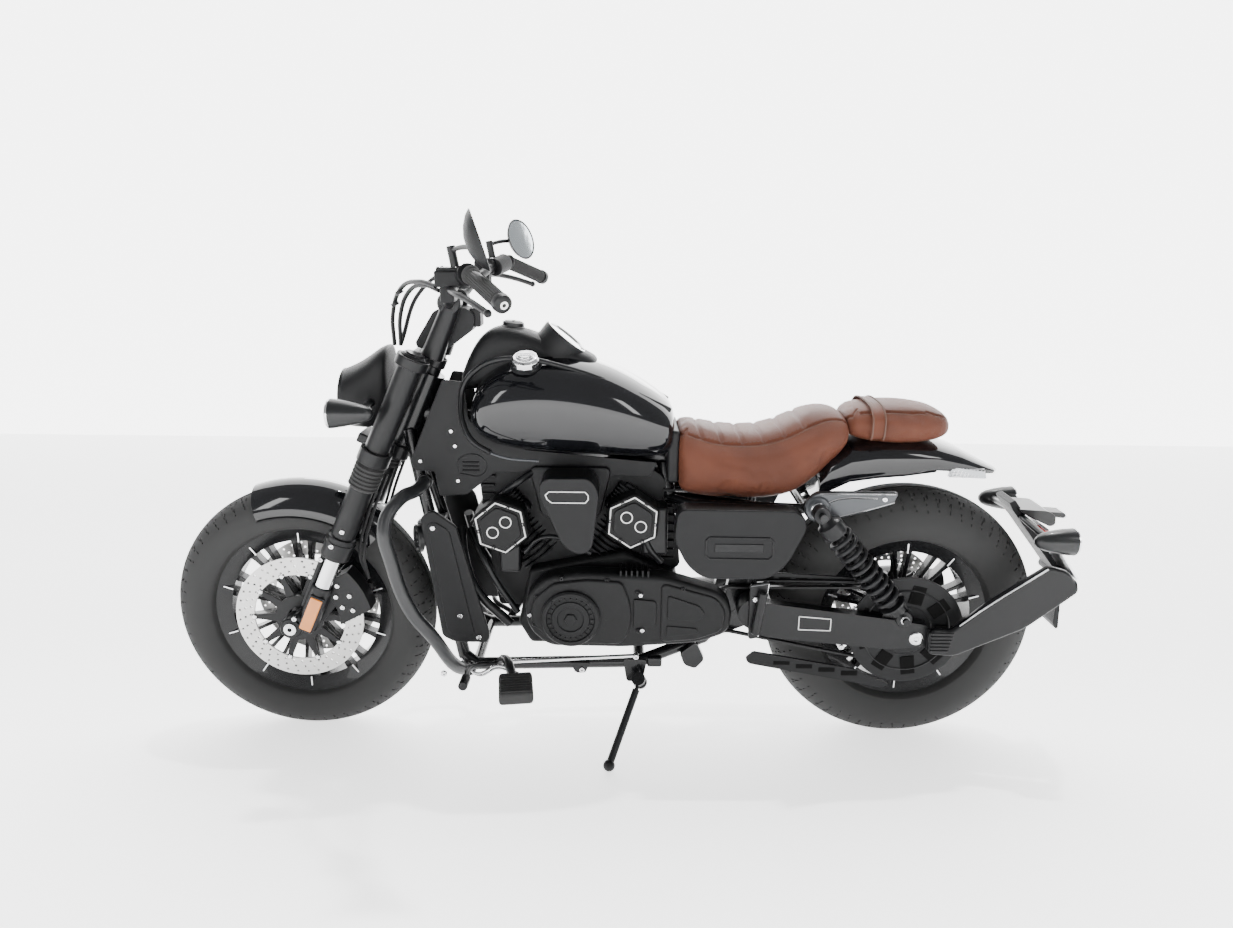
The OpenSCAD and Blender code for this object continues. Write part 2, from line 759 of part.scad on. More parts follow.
// Belt between the gearbox sprocket and the wheel pulley
sprocket_x = 440;
sprocket_z = 380;
sprocket_r = 56;
module drive_belt() {
    rise = atan2(sprocket_z - rear_axle_z, sprocket_x);
    span = norm([sprocket_x, sprocket_z - rear_axle_z]);
    spread = asin((pulley_r - sprocket_r) / span);
    up = 90 + rise + spread;
    dn = rise - 90 - spread;
    t = 6;
    function tangent(a, r, x, z) = [x + r * cos(a), z + r * sin(a)];
    color("#101011") difference() {
        union() {
            slab([tangent(up, pulley_r + t, 0, rear_axle_z),
                tangent(up, sprocket_r + t, sprocket_x, sprocket_z),
                tangent(dn, sprocket_r + t, sprocket_x, sprocket_z),
                tangent(dn, pulley_r + t, 0, rear_axle_z)], belt_y0, belt_y1 - 12);
            cross_disc(0, rear_axle_z, pulley_r + t, belt_y0, belt_y1 - 12);
            cross_disc(sprocket_x, sprocket_z, sprocket_r + t, belt_y0, belt_y1 - 12);
        }
        slab([tangent(up, pulley_r + 0.3, 0, rear_axle_z), tangent(up, sprocket_r, sprocket_x, sprocket_z),
            tangent(dn, sprocket_r, sprocket_x, sprocket_z), tangent(dn, pulley_r + 0.3, 0, rear_axle_z)],
            belt_y0 - 1, belt_y1);
        cross_disc(0, rear_axle_z, pulley_r + 0.3, belt_y0 - 1, belt_y1);
        cross_disc(sprocket_x, sprocket_z, sprocket_r, belt_y0 - 1, belt_y1);
    }
}

// Upper and lower belt guards and the slotted pulley cover
module belt_guards() {
    color("#232426") {
        slab([[392, 486], [360, 490], [130, 478], [122, 462], [360, 468], [392, 464]], 126, 133);
        slab([[400, 262], [380, 280], [130, 236], [40, 196], [60, 186], [160, 206], [390, 248]], 126, 133);
        difference() {
            cross_disc(14, rear_axle_z + 4, 138, 127, 133);
            cross_disc(0, rear_axle_z, 24, 120, 140);
            for (a = [60, 100, 140, 220, 260, 300]) at_axle(14, rear_axle_z + 4) rotate([0, 0, a])
                translate([92, 0, -134]) cylinder(h = 8, r = 16);
        }
    }
}

module rear_caliper() {
    color("#19191b") mirror([0, 1, 0]) at_axle(0, rear_axle_z) rotate([0, 0, 38])
        caliper(92, 132, 99, 104, 84, 130);
}

// ---------------------------------------------------------------- fittings

guard_r = 15.5;
module engine_guard() {
    color("#2a2b2d") both()
        tube([[1178, 62, 690], [1180, 150, 692], [1204, 226, 690], [1226, 268, 650], [1212, 280, 560],
            [1178, 280, 452], [1136, 254, 372], [1096, 190, 262], [1074, 134, 228]], guard_r);
}

// Forward pegs and their brackets, shift and brake levers, pillion pegs
module foot_controls() {
    color("#1c1d1f") {
        both() {
            rods([[1010, 136, 236], [990, 160, 268], [950, 280, 284]], 11);
            translate([946, 280, 285]) rotate([90, 8, 0]) translate([-38, -14, -96]) cube([76, 30, 96]);
            rods([[1010, 148, 248], [1060, 190, 262], [1064, 262, 270]], 7);
            // Pillion pegs, folded up against their plates
            slab([[404, 476], [356, 484], [376, 340], [402, 334]], 168, 176);
            rod([388, 186, 356], [374, 186, 462], 10);
        }
        rod([1000, 146, 252], [668, 136, 268], 5);
    }
}

// Swept arm from the left axle end to the number plate's holder
module plate_bracket() {
    color("#1e1f21") {
        slab([[-24, 372], [-75, 370], [-152, 441], [-280, 535], [-330, 522], [-362, 474], [-327, 444],
            [-246, 376], [-88, 302], [-24, 306]], 170, 190);
        slab([[-24, 366], [-60, 366], [-60, 312], [-24, 312]], arm_y1, 170);
        // Cross tube behind the tyre, and the flap that hangs from it
        rod([-338, 186, 488], [-392, 50, 452], 15);
        rod([-392, 52, 452], [-392, -52, 452], 15);
        slab([[-388, 440], [-396, 440], [-404, 310], [-398, 306], [-390, 320]], -42, 42);
        // Plate carrier
        slab([[-386, 450], [-396, 456], [-252, 648], [-238, 640], [-250, 620]], -42, 42);
        // Blank number plate
        slab([[-402, 462], [-405, 466], [-316, 592], [-313, 588]], -95, 95);
    }
}

module rear_lights() {
    color("#232426") {
        both() {
            rod([-272, 42.2, 606], [-282, 150, 592], 8);
            translate([-250, 165, 588]) rotate([0, -90, 0]) rotate_extrude()
                polygon([[0, 0], [16, 5], [26, 24], [31, 56], [32, 84], [29, 92], [0, 94]]);
        }
        // Tail light above the plate
        slab([[-262, 626], [-278, 612], [-340, 584], [-352, 590], [-350, 612], [-330, 622]], -52, 52);
        slab([[-351, 600], [-386, 596], [-392, 602], [-386, 610], [-350, 612]], -22, 22);
    }
}

place() frame();
place() engine_block();
place() front_cylinder();
place() rear_cylinder();
place() air_cleaner();
place() engine_covers();
place() radiator();
place() downtube_covers();
place() exhaust();
place() fuel_tank();
place() tank_console();
place() front_seat();
place() pillion_seat();
place() rear_fender();
place() fender_struts();
place() side_covers();
place() swingarm();
place() shock_absorbers();
place() belt_guards();
place() drive_belt();
place() engine_guard();
place() foot_controls();
place() plate_bracket();
place() rear_lights();
place() rear_axle();
place() rear_caliper();
place() triple_clamps();
place() fork();
place() front_axle();
place() front_fender();
place() front_calipers();
place() front_lights();
place() handlebar();
place() grips();
place() hand_controls();
place() mirrors();
place() brake_hoses();
place() front_rim();
place() front_tyre();
place() front_discs();
place() rear_rim();
place() rear_tyre();
place() rear_pulley();
place() rear_disc();
place() side_stand();
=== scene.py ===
"""Cruiser motorcycle leaning on its side stand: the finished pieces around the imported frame.

Shapes are given in the upright bike's own frame, in millimetres: x forward from the rear axle,
y to the bike's left and z up from the ground. BikeFrame takes them to the leaning bike.
"""

import json
import logging
import math
from collections.abc import Iterable, Sequence
from dataclasses import dataclass
from enum import Enum

import bmesh
import bpy
from mathutils import Matrix, Vector


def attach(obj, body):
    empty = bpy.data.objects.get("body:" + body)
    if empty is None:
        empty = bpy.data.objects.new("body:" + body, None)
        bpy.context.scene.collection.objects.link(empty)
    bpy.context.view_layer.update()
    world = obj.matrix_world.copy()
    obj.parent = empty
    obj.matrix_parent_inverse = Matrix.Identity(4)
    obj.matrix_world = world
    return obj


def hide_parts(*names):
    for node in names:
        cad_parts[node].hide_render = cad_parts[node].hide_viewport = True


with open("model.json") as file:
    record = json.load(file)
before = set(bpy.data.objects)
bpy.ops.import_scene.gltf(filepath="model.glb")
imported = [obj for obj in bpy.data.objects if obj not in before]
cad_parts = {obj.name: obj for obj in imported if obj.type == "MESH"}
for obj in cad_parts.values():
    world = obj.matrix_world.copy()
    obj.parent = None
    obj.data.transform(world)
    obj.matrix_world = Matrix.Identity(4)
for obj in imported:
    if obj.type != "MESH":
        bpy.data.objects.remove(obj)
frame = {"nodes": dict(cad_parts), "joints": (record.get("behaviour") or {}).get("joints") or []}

LOG = logging.getLogger("cruiser")
MM = 0.001
WELD_MM = 1e-4  # points of one part this close are one
WELD_M = 2e-6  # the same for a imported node, in metres
FLAT_ANGLE = 1.2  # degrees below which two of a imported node's triangles are one face
EDGE_ANGLE = 38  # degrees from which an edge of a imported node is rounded
WEAR_SCALE, WEAR_DETAIL, WEAR_FROM, WEAR_TO = 9, 5, 0.35, 0.75
COAT_ROUGHNESS = 0.04
CORNER_STEPS, RIM_STEPS, BOX_STEPS = 5, 2, 3
Point = tuple[float, float, float]
Flat = tuple[float, float]
Colour = tuple[float, float, float]


# ---------------------------------------------------------------- places


def rotated(degrees: float, axis: str) -> Matrix:
    """A turn about one axis."""
    return Matrix.Rotation(math.radians(degrees), 4, axis)


def along(a: Sequence[float], b: Sequence[float]) -> Matrix:
    """The frame at point a whose z points to point b."""
    way = Vector(b) - Vector(a)
    return Matrix.Translation(Vector(a)) @ way.to_track_quat("Z", "X").to_matrix().to_4x4()


def facing_left(x: float, y: float, z: float) -> Matrix:
    """The frame at a point whose z points out to the bike's left."""
    return Matrix.Translation((x, y, z)) @ rotated(-90, "X")


def linked(name: str, data: bpy.types.ID) -> bpy.types.Object:
    """A new object in the scene."""
    thing = bpy.data.objects.new(name, data)
    bpy.context.scene.collection.objects.link(thing)
    return thing


def as_mesh(name: str, part: bmesh.types.BMesh) -> bpy.types.Mesh:
    """A mesh made of a part, which is used up."""
    data = bpy.data.meshes.new(name)
    part.to_mesh(data)
    part.free()
    return data


@dataclass(frozen=True)
class BikeFrame:
    """Where the upright bike's millimetres lie on the leaning bike."""

    matrix: Matrix
    front_axle: Vector
    rear_axle: Vector
    steer_point: Vector
    steer_tilt: float

    @staticmethod
    def from_joints(joints: Sequence[dict]) -> "BikeFrame":
        """Works the frame out from the wheels' and the steering's joints.

        Args:
            joints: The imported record's joints.

        Returns:
            The frame, with both axles and the steering axis in bike millimetres.
        """
        named = {joint["name"]: joint for joint in joints}
        rear, front = named["rear_wheel_spin"], named["front_wheel_spin"]
        steer = named["steering_head"]
        axis = Vector(rear["axis"])
        lean = math.atan2(-axis.z, axis.y)
        turn = Matrix.Rotation(-lean, 4, "X")
        rear_z = rear["pos_m"][2] / math.cos(lean)
        ground = Vector(rear["pos_m"]) - turn @ Vector((0, 0, rear_z))
        matrix = Matrix.Translation(ground) @ turn @ Matrix.Scale(MM, 4)
        back = matrix.inverted()
        steer_axis = turn.inverted() @ Vector(steer["axis"])
        return BikeFrame(
            matrix,
            back @ Vector(front["pos_m"]),
            back @ Vector(rear["pos_m"]),
            back @ Vector(steer["pos_m"]),
            math.atan2(-steer_axis.x, steer_axis.z),
        )

    def wheel(self, front: bool) -> Matrix:
        """A wheel's own frame: its axle along z towards the left, x forward."""
        centre = self.front_axle if front else self.rear_axle
        return facing_left(*centre)

    def fork(self) -> Matrix:
        """The fork's own frame: z up the steering axis from the axle's level, x ahead of it."""
        turn = Matrix.Rotation(-self.steer_tilt, 4, "Y")
        foot = turn.inverted() @ (self.front_axle - self.steer_point)
        start = self.steer_point + turn @ Vector((0, 0, foot.z))
        return Matrix.Translation(start) @ turn


BIKE = BikeFrame.from_joints(frame["joints"])
FORK = BIKE.fork()
FRONT_WHEEL = BIKE.wheel(True)
REAR_WHEEL = BIKE.wheel(False)
AXLE_Z = BIKE.rear_axle.z
MIRROR_Y = Matrix.Scale(-1, 4, Vector((0, 1, 0)))


# ---------------------------------------------------------------- shader maths


class Value:
    """A shader socket that takes Python's operators."""

    def __init__(self, shader: "Shader", socket: bpy.types.NodeSocket) -> None:
        """Keeps the socket and the shader that it belongs to."""
        self.shader = shader
        self.socket = socket

    def maths(self, operation: str, *terms: "Value | float") -> "Value":
        """The result of one Math node on these terms."""
        inputs = dict(enumerate(terms))
        node = self.shader.node("ShaderNodeMath", {"operation": operation}, inputs)
        return Value(self.shader, node.outputs[0])

    def __add__(self, other: "Value | float") -> "Value":
        """self + other."""
        return self.maths("ADD", self, other)

    __radd__ = __add__

    def __mul__(self, other: "Value | float") -> "Value":
        """self * other."""
        return self.maths("MULTIPLY", self, other)

    __rmul__ = __mul__

    def __sub__(self, other: "Value | float") -> "Value":
        """self - other."""
        return self.maths("SUBTRACT", self, other)

    def __rsub__(self, other: "Value | float") -> "Value":
        """other - self."""
        return self.maths("SUBTRACT", other, self)

    def step(self, low: float, high: float) -> "Value":
        """0 below low, 1 above high and smooth between."""
        settings = {"interpolation_type": "SMOOTHSTEP"}
        inputs = {"Value": self, "From Min": low, "From Max": high}
        node = self.shader.node("ShaderNodeMapRange", settings, inputs)
        return Value(self.shader, node.outputs["Result"])


class Shader:
    """One material's node tree."""

    def __init__(self, name: str) -> None:
        """Starts a material with its Principled shader."""
        self.material = bpy.data.materials.new(name)
        self.material.use_nodes = True
        self.tree = self.material.node_tree
        self.surface = self.tree.nodes["Principled BSDF"]

    def node(self, kind: str, settings: dict, inputs: dict) -> bpy.types.Node:
        """Adds a node.

        Args:
            kind: The node's type.
            settings: Its properties, set first; "stops" holds a ramp's positions and colours.
            inputs: Its sockets' values or links, by name or number.

        Returns:
            The new node.
        """
        node = self.tree.nodes.new(kind)
        for key, setting in settings.items():
            if key == "stops":
                self.set_stops(node, setting)
            else:
                setattr(node, key, setting)
        for key, term in inputs.items():
            self.feed(node.inputs[key], term)
        return node

    def set_stops(self, node: bpy.types.Node, stops: Sequence[tuple[float, Colour]]) -> None:
        """Gives a ramp its two or more stops."""
        elements = node.color_ramp.elements
        while len(elements) < len(stops):
            elements.new(1)
        for element, (position, colour) in zip(elements, stops):
            element.position = position
            element.color = (*colour, 1)

    def feed(self, socket: bpy.types.NodeSocket, term: object) -> None:
        """Links a Value to a socket, or sets the socket's own value."""
        if isinstance(term, Value):
            self.tree.links.new(term.socket, socket)
        else:
            socket.default_value = term

    def coordinates(self, stretch: Point = (1, 1, 1)) -> Value:
        """Object coordinates, scaled along each axis."""
        source = self.node("ShaderNodeTexCoord", {}, {})
        inputs = {"Vector": Value(self, source.outputs["Object"]), "Scale": stretch}
        node = self.node("ShaderNodeMapping", {"vector_type": "POINT"}, inputs)
        return Value(self, node.outputs["Vector"])

    def noise(self, scale: float, detail: float = 3, stretch: Point = (1, 1, 1)) -> Value:
        """Noise from 0 to 1, with a scale in cycles a metre."""
        inputs = {"Vector": self.coordinates(stretch), "Scale": scale, "Detail": detail}
        return Value(self, self.node("ShaderNodeTexNoise", {}, inputs).outputs["Fac"])

    def cells(self, scale: float, edges: bool) -> Value:
        """Distance in a cell pattern, to its edges or to its points."""
        settings = {"feature": "DISTANCE_TO_EDGE" if edges else "F1"}
        inputs = {"Vector": self.coordinates(), "Scale": scale}
        node = self.node("ShaderNodeTexVoronoi", settings, inputs)
        return Value(self, node.outputs["Distance"])

    def ramp(self, value: Value, stops: Sequence[tuple[float, Colour]]) -> Value:
        """A colour for each value between the stops."""
        node = self.node("ShaderNodeValToRGB", {"stops": stops}, {"Fac": value})
        return Value(self, node.outputs["Color"])

    def blend(self, factor: Value, low: Colour, high: Colour) -> Value:
        """The colour between low and high."""
        return self.ramp(factor, [(0, low), (1, high)])

    def bump(self, height: Value, depth: float) -> None:
        """Raises the surface by height times depth, in metres."""
        inputs = {"Height": height, "Distance": depth, "Strength": 1}
        node = self.node("ShaderNodeBump", {}, inputs)
        self.feed(self.surface.inputs["Normal"], Value(self, node.outputs["Normal"]))

    def set(self, **values: object) -> None:
        """Sets the Principled shader's own sockets, with _ for a space in a name."""
        for key, term in values.items():
            self.feed(self.surface.inputs[key.replace("_", " ")], term)


class Grain(Enum):
    """What a finish's small relief looks like."""

    POLISHED = "polished"
    LACQUER = "lacquer"
    SATIN = "satin"
    CAST = "cast"
    MOULDED = "moulded"
    TURNED = "turned"
    HIDE = "hide"
    RUBBER = "rubber"


# Noise scale in cycles a metre, noise detail and depth in metres of the simplest grains.
PLAIN_RELIEF = {
    Grain.POLISHED: (60, 2, 0.00002),
    Grain.LACQUER: (14, 1, 0.00006),
    Grain.SATIN: (900, 2, 0.00012),
    Grain.RUBBER: (700, 3, 0.0003),
}


@dataclass(frozen=True)
class Finish:
    """A surface finish: its colour, gloss and small relief."""

    name: str
    colour: Colour
    roughness: float
    grain: Grain
    metallic: float = 0
    coat: float = 0
    lighter: float = 1.3
    slot: str = "satin_black"
    shine: float = 0.5

    def material(self) -> bpy.types.Material:
        """The finish's material, made once."""
        return bpy.data.materials.get(self.name) or self.make()

    def make(self) -> bpy.types.Material:
        """Builds the node tree for the finish.

        Returns:
            The new material.
        """
        shader = Shader(self.name)
        r, g, b = self.colour
        light = tuple(min(1, c * self.lighter) for c in (r, g, b))
        wear = shader.noise(WEAR_SCALE, WEAR_DETAIL)
        shader.set(Base_Color=shader.blend(wear.step(WEAR_FROM, WEAR_TO), self.colour, light))
        shader.set(Metallic=self.metallic, Coat_Weight=self.coat, Coat_Roughness=COAT_ROUGHNESS)
        shader.set(Specular_IOR_Level=self.shine)
        shader.set(Roughness=self.roughness * (0.85 + 0.3 * wear))
        self.relief(shader)
        return shader.material

    def relief(self, shader: Shader) -> None:
        """Adds the grain's bump.

        Args:
            shader: The shader to add it to.
        """
        if self.grain in PLAIN_RELIEF:
            scale, detail, depth = PLAIN_RELIEF[self.grain]
            shader.bump(shader.noise(scale, detail), depth)
        elif self.grain is Grain.CAST:
            shader.bump(shader.noise(420, 4) + 0.5 * shader.noise(1500, 2), 0.0004)
        elif self.grain is Grain.MOULDED:
            shader.bump(shader.cells(1400, False), 0.00016)
        elif self.grain is Grain.TURNED:
            shader.bump(shader.noise(90, 3, (1, 26, 1)), 0.00008)
        elif self.grain is Grain.HIDE:
            wrinkle = shader.cells(420, True).step(0, 0.18)
            shader.bump(wrinkle + 0.7 * shader.noise(70, 4), 0.00045)


GLOSS_BLACK = Finish("gloss_black_paint", (0.003, 0.0032, 0.004), 0.09, Grain.LACQUER, coat=0.45,
                     slot="gloss_black", shine=0.3)
MATTE_BLACK = Finish("matte_black_plastic", (0.0045, 0.0047, 0.0052), 0.44, Grain.MOULDED,
                     slot="matte_black", shine=0.2)
SATIN_BLACK = Finish("satin_black_coat", (0.0045, 0.0047, 0.0052), 0.34, Grain.SATIN, coat=0.05, shine=0.22)
ENGINE_BLACK = Finish("engine_enamel", (0.0045, 0.0047, 0.005), 0.5, Grain.CAST, slot="engine_black",
                      shine=0.2)
FRAME_BLACK = Finish("frame_coat", (0.0035, 0.0037, 0.0042), 0.26, Grain.SATIN, coat=0.2, shine=0.25)
BRIGHT = Finish("polished_steel", (0.72, 0.72, 0.73), 0.14, Grain.POLISHED, metallic=1, lighter=1.05,
                slot="bright_steel")
MACHINED = Finish("machined_alloy", (0.80, 0.80, 0.81), 0.32, Grain.TURNED, metallic=1, lighter=1.05,
                  slot="bright_steel")
BRAKE_STEEL = Finish("ground_steel", (0.50, 0.495, 0.485), 0.33, Grain.TURNED, metallic=1, lighter=1.1,
                     slot="disc_steel")
ALLOY = Finish("dull_alloy", (0.12, 0.12, 0.125), 0.42, Grain.CAST, metallic=0.9, slot="radiator_alloy")
STRUT_GREY = Finish("strut_grey_satin", (0.045, 0.048, 0.052), 0.3, Grain.SATIN, metallic=0.5, coat=0.1,
                    slot="strut_grey")
GUARD_GREY = Finish("guard_grey_satin", (0.010, 0.0105, 0.0115), 0.36, Grain.SATIN, coat=0.1, shine=0.4)
TYRE = Finish("tyre_rubber", (0.0035, 0.0035, 0.0037), 0.62, Grain.RUBBER, lighter=1.6, slot="tyre_rubber",
              shine=0.3)
GRIP = Finish("grip_rubber", (0.022, 0.0225, 0.025), 0.55, Grain.RUBBER, slot="grip_rubber", shine=0.35)
HOSE = Finish("hose_rubber", (0.004, 0.004, 0.0045), 0.38, Grain.SATIN, slot="belt_rubber", shine=0.3)
LEATHER = Finish("brown_leather", (0.088, 0.0285, 0.0155), 0.46, Grain.HIDE, lighter=1.35,
                 slot="tan_leather", shine=0.22)
THREAD = Finish("seat_thread", (0.075, 0.034, 0.022), 0.7, Grain.RUBBER, slot="tan_leather")
WHITE_LINE = Finish("white_line_paint", (0.70, 0.70, 0.69), 0.35, Grain.SATIN, lighter=1.05,
                    slot="bright_steel")
AMBER = Finish("amber_reflector", (0.50, 0.15, 0.012), 0.2, Grain.MOULDED, coat=0.8, slot="lamp_black")
RED = Finish("red_reflector", (0.45, 0.008, 0.008), 0.2, Grain.MOULDED, coat=0.8, slot="lamp_black")
LENS = Finish("clear_lens", (0.42, 0.44, 0.46), 0.12, Grain.POLISHED, coat=1, lighter=1.1, slot="lamp_black")
SMOKED = Finish("smoked_lens", (0.012, 0.009, 0.009), 0.1, Grain.POLISHED, coat=0.6, slot="lamp_black")
MIRROR_GLASS = Finish("mirror_glass", (0.74, 0.79, 0.82), 0.03, Grain.POLISHED, metallic=1, lighter=1.02,
                      slot="mirror_shell")
LAMP_SHELL = Finish("lamp_shell", (0.006, 0.0065, 0.007), 0.34, Grain.SATIN, coat=0.15, slot="lamp_black",
                    shine=0.3)
# Near-black finish for painted shade: its colour stands in for the shade inside slots and recesses.
PAINTED_SHADE = Finish("painted_shade_recess", (0.0015, 0.0015, 0.0015), 0.8, Grain.CAST, slot="engine_black", shine=0.1)


# ---------------------------------------------------------------- shapes


class Shape:
    """A mesh in the upright bike's millimetres, made by bmesh operators."""

    def __init__(self) -> None:
        """Starts empty."""
        self.mesh = bmesh.new()

    def take(self, part: bmesh.types.BMesh, place: Matrix | None = None) -> "Shape":
        """Adds a part to the shape.

        Args:
            part: The part, which is used up.
            place: Where it goes.

        Returns:
            The shape itself.
        """
        if place is not None:
            bmesh.ops.transform(part, matrix=place, verts=part.verts)
        bmesh.ops.recalc_face_normals(part, faces=part.faces)
        data = as_mesh("part", part)
        self.mesh.from_mesh(data)
        bpy.data.meshes.remove(data)
        return self

    def mirrored(self) -> "Shape":
        """Adds the other side's copy across the bike's centre plane."""
        return self.take(self.mesh.copy(), MIRROR_Y)

    def around(self, count: int, place: Matrix) -> "Shape":
        """Repeats the shape round a frame's z axis.

        Args:
            count: How many there are in a full turn.
            place: The frame.

        Returns:
            The shape itself.
        """
        one = self.mesh.copy()
        for i in range(1, count):
            turn = place @ Matrix.Rotation(math.tau * i / count, 4, "Z") @ place.inverted()
            self.take(one.copy(), turn)
        one.free()
        return self

    def bar(self, a: Point, b: Point, r: float, end_r: float | None = None, sides: int = 24,
            edge: float = 0) -> "Shape":
        """Adds a round bar or a cone from a to b.

        Args:
            a: Its start.
            b: Its end.
            r: Its radius at the start.
            end_r: Its radius at the end, if another.
            sides: How many sides it has.
            edge: How much its ends are rounded.

        Returns:
            The shape itself.
        """
        part = bmesh.new()
        length = (Vector(b) - Vector(a)).length
        bmesh.ops.create_cone(part, cap_ends=True, segments=sides, radius1=r, radius2=r if end_r is None
                              else end_r, depth=length)
        if edge:
            rims = [e for e in part.edges if len(e.link_faces) == 2
                    and any(len(f.verts) > 4 for f in e.link_faces)]
            bevel(part, rims, edge, RIM_STEPS)
        return self.take(part, along(a, b) @ Matrix.Translation((0, 0, length / 2)))

    def plate(self, outline: Sequence[Flat], y0: float, y1: float, corner: float = 0, edge: float = 0,
              segments: int = 2, place: Matrix | None = None) -> "Shape":
        """Adds a plate with a side outline.

        Args:
            outline: Its (x, z) points.
            y0: Its near side.
            y1: Its far side.
            corner: The radius of its outline's corners.
            edge: How much its rims are rounded.
            segments: How finely the rims are rounded.
            place: Where it goes.

        Returns:
            The shape itself.
        """
        part = bmesh.new()
        part.faces.new([part.verts.new((x, y0, z)) for x, z in outline])
        if corner:
            bmesh.ops.bevel(part, geom=list(part.verts), offset=corner, segments=CORNER_STEPS, profile=0.5,
                            affect="VERTICES", clamp_overlap=True, material=-1)
        thicken(part, (0, y1 - y0, 0))
        if edge:
            rims = [e for e in part.edges if abs(e.verts[0].co.y - e.verts[1].co.y) < 1e-6]
            bevel(part, rims, edge, segments)
        return self.take(part, place)

    def box(self, low: Point, high: Point, edge: float = 2, place: Matrix | None = None) -> "Shape":
        """Adds a box with rounded edges between two corners.

        Args:
            low: Its lowest corner.
            high: Its highest corner.
            edge: How much its edges are rounded.
            place: Where it goes.

        Returns:
            The shape itself.
        """
        part = bmesh.new()
        bmesh.ops.create_cube(part, size=1)
        middle = (Vector(low) + Vector(high)) / 2
        size = Vector(high) - Vector(low)
        fit = Matrix.Translation(middle) @ Matrix.Diagonal((*size, 1))
        bmesh.ops.transform(part, matrix=fit, verts=part.verts)
        bevel(part, list(part.edges), edge, BOX_STEPS)
        return self.take(part, place)

    def turned(self, profile: Sequence[Flat], place: Matrix, steps: int = 48, closed: bool = False,
               sweep: float = 360) -> "Shape":
        """Adds a profile turned round a frame's z axis.

        Args:
            profile: Its (radius, height) points.
            place: The frame.
            steps: How many steps a turn has.
            closed: Whether the profile's last point joins its first.
            sweep: The turn, in degrees.

        Returns:
            The shape itself.
        """
        part = bmesh.new()
        line = [part.verts.new((r, 0, h)) for r, h in profile]
        pairs = list(zip(line, line[1:])) + ([(line[-1], line[0])] if closed else [])
        edges = [part.edges.new(pair) for pair in pairs]
        full = sweep == 360
        bmesh.ops.spin(part, geom=line + edges, cent=(0, 0, 0), axis=(0, 0, 1), angle=math.radians(sweep),
                       steps=steps, use_merge=full, use_duplicate=False)
        bmesh.ops.remove_doubles(part, verts=part.verts, dist=WELD_MM)
        if not full:
            ends = [e for e in part.edges if e.is_boundary]
            bmesh.ops.contextual_create(part, geom=ends) if not closed else cap_ends(part)
        return self.take(part, place)

    def tube(self, points: Sequence[Point], r: float, sides: int = 12, smooth: bool = True,
             resolution: int = 8, place: Matrix | None = None) -> "Shape":
        """Adds a round tube along points.

        Args:
            points: The points it passes.
            r: Its radius.
            sides: How many sides it has.
            smooth: Whether it curves between the points.
            resolution: How many steps lie between two points.
            place: Where it goes.

        Returns:
            The shape itself.
        """
        curve = bpy.data.curves.new("route", "CURVE")
        curve.dimensions = "3D"
        curve.bevel_depth = r
        curve.bevel_resolution = max(0, sides // 4 - 1)
        curve.use_fill_caps = True
        curve.resolution_u = resolution
        spline = curve.splines.new("BEZIER")
        spline.bezier_points.add(len(points) - 1)
        for knot, point in zip(spline.bezier_points, points):
            knot.co = point
            knot.handle_left_type = knot.handle_right_type = "AUTO" if smooth else "VECTOR"
        holder = linked("route", curve)
        view = bpy.context.evaluated_depsgraph_get()
        data = bpy.data.meshes.new_from_object(holder.evaluated_get(view))
        part = bmesh.new()
        part.from_mesh(data)
        bmesh.ops.remove_doubles(part, verts=part.verts, dist=WELD_MM)
        bpy.data.objects.remove(holder)
        bpy.data.curves.remove(curve)
        bpy.data.meshes.remove(data)
        return self.take(part, place)

    def loft(self, sections: Sequence["Section"], sides: int = 32, open_low: bool = False,
             place: Matrix | None = None) -> "Shape":
        """Adds a body that passes through sections.

        Args:
            sections: The sections, in order.
            sides: How many points each has.
            open_low: Whether the underside is left off.
            place: Where it goes.

        Returns:
            The shape itself.
        """
        part = bmesh.new()
        rings = []
        for section in sections:
            made = bmesh.ops.create_circle(part, cap_ends=False, radius=1, segments=sides)
            for vert in made["verts"]:
                vert.co = section.point(math.atan2(vert.co.y, vert.co.x))
            rings.append(list({edge for vert in made["verts"] for edge in vert.link_edges}))
        for ring, following in zip(rings, rings[1:]):
            bmesh.ops.bridge_loops(part, edges=ring + following)
        bmesh.ops.holes_fill(part, edges=[e for e in part.edges if e.is_boundary], sides=0)
        if open_low:
            bmesh.ops.recalc_face_normals(part, faces=part.faces)
            under = [f for f in part.faces if f.normal.z < -0.6]
            bmesh.ops.delete(part, geom=under, context="FACES")
        return self.take(part, place)

    def loop(self, points: Sequence[Point], r: float, sides: int = 8) -> "Shape":
        """Joins points into a closed loop of thin bars."""
        for a, b in zip(points, [*points[1:], points[0]]):
            self.bar(a, b, r, sides=sides)
        return self

    def bolts(self, spots: Iterable[Flat], y: float, r: float, height: float) -> "Shape":
        """Adds a bolt head at each (x, z) point of a side plane."""
        for x, z in spots:
            self.bolt(x, y, z, r, height)
        return self

    def ball(self, centre: Point, r: float, stretch: Point = (1, 1, 1)) -> "Shape":
        """Adds a ball, or an ellipsoid."""
        part = bmesh.new()
        bmesh.ops.create_uvsphere(part, u_segments=24, v_segments=14, radius=r)
        return self.take(part, Matrix.Translation(centre) @ Matrix.Diagonal((*stretch, 1)))

    def bolt(self, x: float, y: float, z: float, r: float = 7, height: float = 5) -> "Shape":
        """Adds a bolt head with a socket, facing out to the side that y is on."""
        side = 1 if y > 0 else -1
        place = facing_left(x, y, z) if side > 0 else facing_left(x, y, z) @ Matrix.Rotation(math.pi, 4, "X")
        return self.socket_head(place, r, height)

